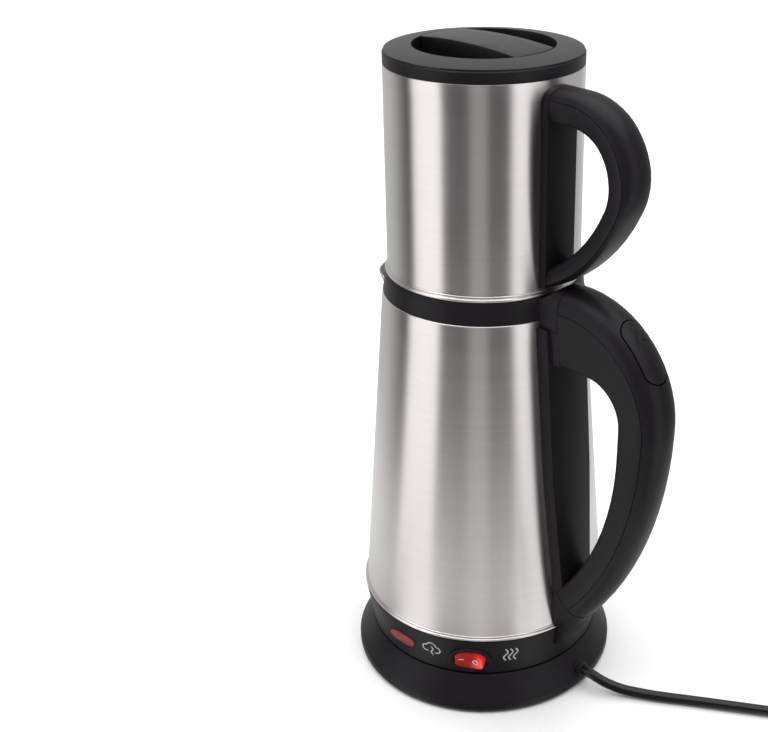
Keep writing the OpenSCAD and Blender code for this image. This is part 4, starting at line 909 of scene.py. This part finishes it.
class TEAMAKER_OT_cord(Operator):
    """Mains cord with its strain relief, coil, tie and plug"""

    bl_idname = "tea_maker.cord"
    bl_label = "Cord"

    def execute(self, context):
        settings = context.scene.tea_cord
        route = CordRoute(settings)
        self.gland()
        plug = self.plug(route)
        tie = self.tie(settings, route)
        self.sheath(settings, route, [plug, tie, frame["nodes"]["plug_prongs"]])
        dress("plug_prongs", "plain_metal")
        return {"FINISHED"}

    def sheath(self, settings, route, pieces):
        curve = bpy.data.curves.new("mains_cord", "CURVE")
        curve.dimensions = "3D"
        curve.bevel_depth = settings.diameter / 2
        curve.bevel_resolution = 4
        curve.use_fill_caps = True
        spline = curve.splines.new("POLY")
        spline.points.add(len(route.path) - 1)
        for point, place in zip(spline.points, route.path):
            point.co = (*place, 1.0)
        curve.materials.append(finish("cord_sheath"))
        cord = new_object("mains_cord", curve)
        settle(cord, "power_base", ["power_cord", "cord_coil", "cord_tail"])
        line_length(route.path)

    def gland(self):
        """Tapered relief with ribs, along the gland's own line."""
        ribs = relief_ribs(start=66, pitch=2.2, crest=1.2, radius=4.35, growth=0, groove=0.65, rounding=0.2)
        corners = [*GLAND_COLLAR, *ribs, *GLAND_END]
        turn = Matrix.Rotation(GLAND_ANGLE, 4, "Z") @ Matrix.Translation((0, 0, GLAND_HEIGHT))
        turn = turn @ Matrix.Rotation(pi / 2, 4, "Y")
        bm = turned(rounded_outline(corners, CORNER_STEPS), GLAND_STEPS, turn)
        place_piece("strain_relief", bm, "rubber", "power_base", ["cord_gland"])

    def plug(self, route):
        """Round two-pin plug with a ribbed relief and a grip waist."""
        ribs = relief_ribs(start=1.4, pitch=3.1, crest=1.7, radius=4.2, growth=0.34, groove=0.8, rounding=0.3)
        corners = [*PLUG_START, *ribs, *PLUG_GRIP]
        turn = Matrix.Translation(route.plug) @ Matrix.Rotation(route.end_way, 4, "Z")
        turn = turn @ Matrix.Rotation(pi / 2, 4, "Y")
        bm = turned(rounded_outline(corners, CORNER_STEPS), PLUG_STEPS, turn)
        return place_piece("mains_plug", bm, "black_plastic", "power_base", ["plug_body"])

    def tie(self, settings, route):
        """A soft band round the turns at one place of the coil."""
        loose = settings.diameter / 2 + TIE_ROOM
        radii = [route.radius_at(TIE_TURN), route.radius_at(TIE_TURN + 1)]
        low = Vector((min(radii) - loose, route.low - loose))
        high = Vector((max(radii) + loose, route.high + loose))
        bm = bmesh.new()
        rings = []
        for side in (-1, 1):
            for grow in ((TIE_THICK, 0) if side < 0 else (0, TIE_THICK)):
                rings.append(self.band_ring(bm, low, high, grow, side * TIE_WIDTH / 2))
        bridge(bm, rings, True)
        bmesh.ops.recalc_face_normals(bm, faces=bm.faces[:])
        shade_by_angle(bm, THIN_TURN)
        place = Matrix.Translation((route.centre.x, route.centre.y, 0))
        place = place @ Matrix.Rotation(route.way + pi / 2 - 2 * pi * TIE_TURN, 4, "Z")
        bmesh.ops.transform(bm, matrix=place, verts=bm.verts[:])
        return place_piece("cord_band", bm, "pale_plastic", "power_base", ["cord_tie"])

    def band_ring(self, bm, low, high, grow, y):
        """Rounded rectangle round the turns, seen along the cord."""
        corners = [
            (low.x - grow, low.y - grow), (high.x + grow, low.y - grow),
            (high.x + grow, high.y + grow), (low.x - grow, high.y + grow),
        ]
        ring = rounded_outline([(x / MM, z / MM, TIE_CORNER) for x, z in corners], TIE_CORNER_STEPS)
        return [bm.verts.new((p.x, y, p.y)) for p in ring]


# Steel bodies

class TEAMAKER_OT_steel(Operator):
    """Brushed steel walls and beaks of the kettle and the teapot"""

    bl_idname = "tea_maker.steel"
    bl_label = "Steel bodies"

    def execute(self, context):
        for node in ("kettle_wall", "kettle_beak", "teapot_wall", "teapot_beak"):
            smooth_copy(node, "brushed_steel")
        return {"FINISHED"}


# Black mouldings

# Lid: height of the grip bar's crown over the rim, rounding of the edges, and how far below the rim it starts
LID_CROWN = 2 * MM
LID_ROUNDING = 0.5 * MM
LID_MARGIN = 0.4 * MM
# Section of the base's shell: radius, height and rounding, in millimetres
BASE_SHELL = (
    (76.2, 1.2, 0.3), (77, 3, 1.2), (77, 7.16, 4), (68, 21.2, 1.0), (62, 21.2, 0.5), (61, 22.2, 0.5),
    (15.6, 22.2, 0.4), (15.6, 20, 0), (60, 20, 0.5), (66.6, 19, 1), (74.4, 7, 3), (74, 1.2, 0),
)


class TEAMAKER_OT_mouldings(Operator):
    """Power base, skirt, collars and lid"""

    bl_idname = "tea_maker.mouldings"
    bl_label = "Black mouldings"

    def execute(self, context):
        bm = turned(rounded_outline(BASE_SHELL), context.scene.tea_shape.segments)
        place_piece("base_shell", bm, "black_plastic", "power_base", ["base_housing"])
        for node in ("kettle_skirt", "kettle_collar", "teapot_collar"):
            smooth_copy(node, "black_plastic")
        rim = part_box("lid_top")[1][2] - LID_CROWN - LID_MARGIN
        smooth_copy("lid_top", "lid_plastic", rounding=LID_ROUNDING, above=rim)
        return {"FINISHED"}


# Handles

# Crown of the kettle's grip in millimetres: middle (x, z) and radius of its arc, half width and depth; then
# the fullness of its section
CROWN_MIDDLE = (70.5, 193.0)
CROWN_RADIUS = 60.3
CROWN_HALF = 13.0
CROWN_DEPTH = 12.3
CROWN_POWER = 2.3
# Angle of the thumb rocker's middle on that arc, in degrees
THUMB_ANGLE = 43.0
# Arrow in millimetres: corners (along, across), the place it narrows to, and its layers (share, height)
ARROW = ((11.5, 0), (4.5, 4), (6, 0), (4.5, -4))
ARROW_MIDDLE = 7.2
ARROW_LAYERS = ((1.0, -0.15), (0.82, 0.45))


def on_crown(along, across, lift):
    """A point above the crown of the kettle's grip, from the rocker's middle, in millimetres."""
    share = min(abs(across) / CROWN_HALF, 1.0) ** CROWN_POWER
    below = CROWN_DEPTH * (1 - (1 - share) ** (1 / CROWN_POWER))
    radius = CROWN_RADIUS - below + lift
    a = radians(THUMB_ANGLE) + along / CROWN_RADIUS
    return Vector((CROWN_MIDDLE[0] + radius * cos(a), across, CROWN_MIDDLE[1] + radius * sin(a))) * MM


class TEAMAKER_OT_handles(Operator):
    """Both handles with their covers and the thumb rocker"""

    bl_idname = "tea_maker.handles"
    bl_label = "Handles"

    def execute(self, context):
        for node in (
            "kettle_handle", "kettle_handle_cover", "teapot_handle", "teapot_handle_cover", "thumb_rocker",
        ):
            smooth_copy(node, "black_plastic", HANDLE_TURN)
        self.arrow()
        return {"FINISHED"}

    def arrow(self):
        """A raised arrow head near the upper end of the thumb rocker."""
        bm = bmesh.new()
        rings = []
        for share, lift in ARROW_LAYERS:
            ring = []
            for along, across in ARROW:
                u = ARROW_MIDDLE + (along - ARROW_MIDDLE) * share
                ring.append(bm.verts.new(on_crown(u, across * share, lift)))
            rings.append(ring)
        bridge(bm, rings, False)
        bm.faces.new(rings[0])
        bm.faces.new(reversed(rings[-1]))
        bmesh.ops.recalc_face_normals(bm, faces=bm.faces[:])
        shade_by_angle(bm, ARROW_TURN)
        place_piece("thumb_arrow", bm, "black_plastic", "thumb_rocker")


# Panel

BEZEL_ROUNDING = 0.4 * MM
BUTTON_ROUNDING = 0.5 * MM
# Height of a print's face and foot over what it lies on, in millimetres
PRINT_FACE = 0.07
PRINT_FOOT = -0.04
# Arcs of the cloud in millimetres and degrees: middle (x, y), radius, first and last angle; then its curl
CLOUD_ARCS = ((3.0, -0.5, 2.35, -115, 88), (0, 1.45, 3.0, 12, 168), (-3.2, -0.1, 2.35, 95, 295))
CLOUD_CURL = ((0.1, 1.6), (1.0, -0.6), (-0.4, -2.8), (0.9, -5.0))
ARC_STEPS = 12
# Waves in millimetres: height, distance, sway and length of one swing
WAVE_HEIGHT = 9.0
WAVE_PITCH = 2.9
WAVE_SWAY = 1.15
WAVE_LENGTH = 0.93 * WAVE_HEIGHT
WAVE_STEPS = 24
# Width of a wave's line and of a line on the rocker, as a share of the other marks' width
WAVE_LINE = 1.1
ROCKER_LINE = 0.65
# Rocker in millimetres and degrees: pivot behind the skirt, tilt at rest, and the arc of its hollow face by
# its radius and the height of its middle over the pivot
ROCKER_DEPTH = 2.2 * MM
ROCKER_TILT = radians(8)
VALLEY_RADIUS = 28.6
VALLEY_MIDDLE = 31.8
# Marks on the rocker in millimetres: ends of the dash, middle and half sizes of the ring, face and foot
DASH = ((-6.1, 0.3), (-3.1, 0.3))
RING_MIDDLE = (3.6, -0.3)
RING_HALF = (1.4, 1.5)
RING_STEPS = 20
ROCKER_PRINT_FACE = 0.06
ROCKER_PRINT_FOOT = -0.05


def ribbon(bm, line, width, closed, lift):
    """A flat printed line on the panel; a point is (right, up) in metres, and lift puts it in space."""
    count = len(line)
    left = []
    right = []
    for i, here in enumerate(line):
        before = line[i - 1] if closed or i else here
        after = line[(i + 1) % count] if closed or i < count - 1 else here
        run = (after - before).normalized()
        side = Vector((-run.y, run.x)) * width / 2
        left.append(here + side)
        right.append(here - side)
    rings = []
    for a, b in zip(left, right):
        rings.append([bm.verts.new(lift(p, h)) for p, h in ((a, 0), (a, 1), (b, 1), (b, 0))])
    bridge(bm, rings, closed)
    if not closed:
        bm.faces.new(rings[0])
        bm.faces.new(reversed(rings[-1]))


class TEAMAKER_OT_panel(Operator):
    """Rocker switch, pilot lens and printed marks"""

    bl_idname = "tea_maker.panel"
    bl_label = "Panel"

    def execute(self, context):
        settings = context.scene.tea_panel
        smooth_copy("switch_bezel", "black_plastic", rounding=BEZEL_ROUNDING)
        smooth_copy("switch_rocker", "red_rocker", rounding=BUTTON_ROUNDING)
        smooth_copy("pilot_lens", "red_lens", rounding=BUTTON_ROUNDING)
        self.cloud(settings)
        self.waves(settings)
        self.switch_marks(settings)
        return {"FINISHED"}

    def on_skirt(self, angle, z):
        """Lifts a point (right, up) onto the skirt's cone, with a thin print above it."""
        def lift(p, high):
            up = z + p.y / MM * cos(SKIRT_SLOPE)
            radius = skirt_radius(up) + (PRINT_FACE if high else PRINT_FOOT)
            a = radians(angle) + p.x / MM / radius
            return (radius * cos(a) * MM, radius * sin(a) * MM, up * MM)
        return lift

    def finish_marks(self, name, bm, body, ink="printed_mark"):
        bmesh.ops.recalc_face_normals(bm, faces=bm.faces[:])
        shade_by_angle(bm, THIN_TURN)
        place_piece(name, bm, ink, body)

    def cloud(self, settings):
        """Steam cloud: three bumps over an open foot, with a curl of steam through it."""
        bm = bmesh.new()
        lift = self.on_skirt(*CLOUD_PLACE)
        outline = []
        for x, y, r, first, last in CLOUD_ARCS:
            for k in range(ARC_STEPS + 1):
                a = radians(first + (last - first) * k / ARC_STEPS)
                outline.append(Vector((x + r * cos(a), y + r * sin(a))) * MM)
        stem = smooth_path([Vector(p) * MM for p in CLOUD_CURL], 6)
        ribbon(bm, outline, settings.mark_width, False, lift)
        ribbon(bm, stem, settings.mark_width, False, lift)
        self.finish_marks("cloud_mark", bm, "kettle")

    def waves(self, settings):
        """Three rising waves of warmth."""
        bm = bmesh.new()
        lift = self.on_skirt(*WAVES_PLACE)
        for k in (-1, 0, 1):
            line = []
            for i in range(WAVE_STEPS + 1):
                up = WAVE_HEIGHT * (i / WAVE_STEPS - 0.5)
                line.append(Vector((k * WAVE_PITCH + WAVE_SWAY * sin(2 * pi * up / WAVE_LENGTH), up)) * MM)
            ribbon(bm, line, settings.mark_width * WAVE_LINE, False, lift)
        self.finish_marks("warmth_mark", bm, "kettle")

    def switch_marks(self, settings):
        """A dash on one end of the rocker and a ring on the other."""
        bm = bmesh.new()
        tilt = Matrix.Rotation(ROCKER_TILT, 4, "X")
        rocker = SWITCH_FRAME @ Matrix.Translation((0, 0, -ROCKER_DEPTH)) @ tilt

        def lift(p, high):
            valley = VALLEY_MIDDLE - (VALLEY_RADIUS ** 2 - (p.x / MM) ** 2) ** 0.5
            ink = ROCKER_PRINT_FACE if high else ROCKER_PRINT_FOOT
            return rocker @ Vector((-p.y, p.x, (valley + ink) * MM))

        width = settings.mark_width * ROCKER_LINE
        dash = [Vector(p) * MM for p in DASH]
        ring = []
        for k in range(RING_STEPS):
            a = 2 * pi * k / RING_STEPS
            across = RING_MIDDLE[0] + RING_HALF[0] * cos(a)
            up = RING_MIDDLE[1] + RING_HALF[1] * sin(a)
            ring.append(Vector((across, up)) * MM)
        ribbon(bm, dash, width, False, lift)
        ribbon(bm, ring, width, True, lift)
        self.finish_marks("rocker_mark", bm, "switch_rocker", "rocker_ink")


# Fasteners and inner parts

# Screw in millimetres: section of the head (radius, height, rounding); start, pitch and radii of the thread;
# length, and radius of the tip; then the steps round it and in a corner
SCREW_HEAD = (
    (0, -1.0, 0), (0.9, -1.05, 0), (1.1, -1.4, 0.1), (2.4, -1.3, 0.5), (2.9, -0.5, 0.3), (2.9, 0, 0),
)
THREAD_START = 0.1
THREAD_PITCH = 0.9
THREAD_ROOT = 1.2
THREAD_CREST = 1.4
SCREW_LENGTH = 9
SCREW_TIP = 0.5
SCREW_STEPS = 20
SCREW_CORNER_STEPS = 2
# Where the screws sit: radius and height in millimetres, and angles in degrees
BASE_SCREWS = (47, 2.6, (60, 180, 300))
UNDERSIDE_SCREWS = (62, 24.0, (72, 180, 290))


class TEAMAKER_OT_screws(Operator):
    """Screws under the base and under the kettle"""

    bl_idname = "tea_maker.screws"
    bl_label = "Screws"

    def execute(self, context):
        self.set_of("base_screw_set", "base_screws", "power_base", *BASE_SCREWS)
        self.set_of("underside_screw_set", "underside_screws", "kettle", *UNDERSIDE_SCREWS)
        return {"FINISHED"}

    def set_of(self, name, node, body, radius, z, angles):
        spots = []
        for angle in angles:
            a = radians(angle)
            spots.append(((radius * cos(a) * MM, radius * sin(a) * MM, z * MM), (0, 0, a)))
        repeated(name, self.screw(), spots, 1.0, "plain_metal", body, [node])

    def screw(self):
        """Pan head with a round recess below z = 0 and a threaded shank above it."""
        corners = [*SCREW_HEAD]
        for turn in range(int(SCREW_LENGTH / THREAD_PITCH) - 1):
            corners.append((THREAD_ROOT, THREAD_PITCH * turn + THREAD_START, 0))
            corners.append((THREAD_CREST, THREAD_PITCH * (turn + 0.5), 0))
        corners += [(SCREW_TIP, SCREW_LENGTH, 0), (0, SCREW_LENGTH, 0)]
        return turned(rounded_outline(corners, SCREW_CORNER_STEPS), SCREW_STEPS)


INNER_PARTS = {
    "base_cover": "inner_plastic", "base_foot_ring": "rubber", "base_connector": "inner_plastic",
    "base_contacts": "brass", "kettle_floor": "brushed_steel", "heat_plate": "heat_plate_metal",
    "heating_element": "heat_plate_metal", "kettle_socket": "inner_plastic", "socket_blades": "brass",
    "kettle_underside": "inner_plastic", "handle_screws": "plain_metal", "steam_switch": "pale_plastic",
    "handle_leads": "lead_sleeve", "thumb_pin": "plain_metal", "switch_blades": "brass",
    "pilot_lamp": "lamp_glass", "teapot_studs": "plain_metal", "teapot_nuts": "brass",
    "lid_liner": "brushed_steel",
}


class TEAMAKER_OT_inner_parts(Operator):
    """Finishes of the parts inside the base, the kettle and the handles"""

    bl_idname = "tea_maker.inner_parts"
    bl_label = "Inner parts"

    def execute(self, context):
        for node, finish_name in INNER_PARTS.items():
            dress(node, finish_name)
        return {"FINISHED"}


class TEAMAKER_PT_panel(Panel):
    """Steps of the tea maker in the sidebar"""

    bl_idname = "TEAMAKER_PT_panel"
    bl_label = "Tea maker"
    bl_space_type = "VIEW_3D"
    bl_region_type = "UI"
    bl_category = "Tea maker"

    def draw(self, context):
        for operator in STEPS:
            self.layout.operator(operator.bl_idname)
        for group in SETTINGS:
            box = self.layout.box()
            for key in group.__annotations__:
                box.prop(getattr(context.scene, SETTINGS[group]), key)


STEPS = (
    TEAMAKER_OT_stage, TEAMAKER_OT_cord, TEAMAKER_OT_steel, TEAMAKER_OT_mouldings, TEAMAKER_OT_handles,
    TEAMAKER_OT_panel, TEAMAKER_OT_screws, TEAMAKER_OT_inner_parts,
)
SETTINGS = {
    StageSettings: "tea_stage", SteelSettings: "tea_steel", PanelSettings: "tea_panel",
    CordSettings: "tea_cord", ShapeSettings: "tea_shape",
}


def register():
    for group, name in SETTINGS.items():
        bpy.utils.register_class(group)
        setattr(bpy.types.Scene, name, PointerProperty(type=group))
    for operator in STEPS:
        bpy.utils.register_class(operator)
    bpy.utils.register_class(TEAMAKER_PT_panel)


def unregister():
    bpy.utils.unregister_class(TEAMAKER_PT_panel)
    for operator in reversed(STEPS):
        bpy.utils.unregister_class(operator)
    for group, name in SETTINGS.items():
        delattr(bpy.types.Scene, name)
        bpy.utils.unregister_class(group)


def main():
    register()
    bpy.ops.tea_maker.stage()
    bpy.ops.tea_maker.cord()
    bpy.ops.tea_maker.steel()
    bpy.ops.tea_maker.mouldings()
    bpy.ops.tea_maker.handles()
    bpy.ops.tea_maker.panel()
    bpy.ops.tea_maker.screws()
    bpy.ops.tea_maker.inner_parts()


if __name__ == "__main__":
    main()
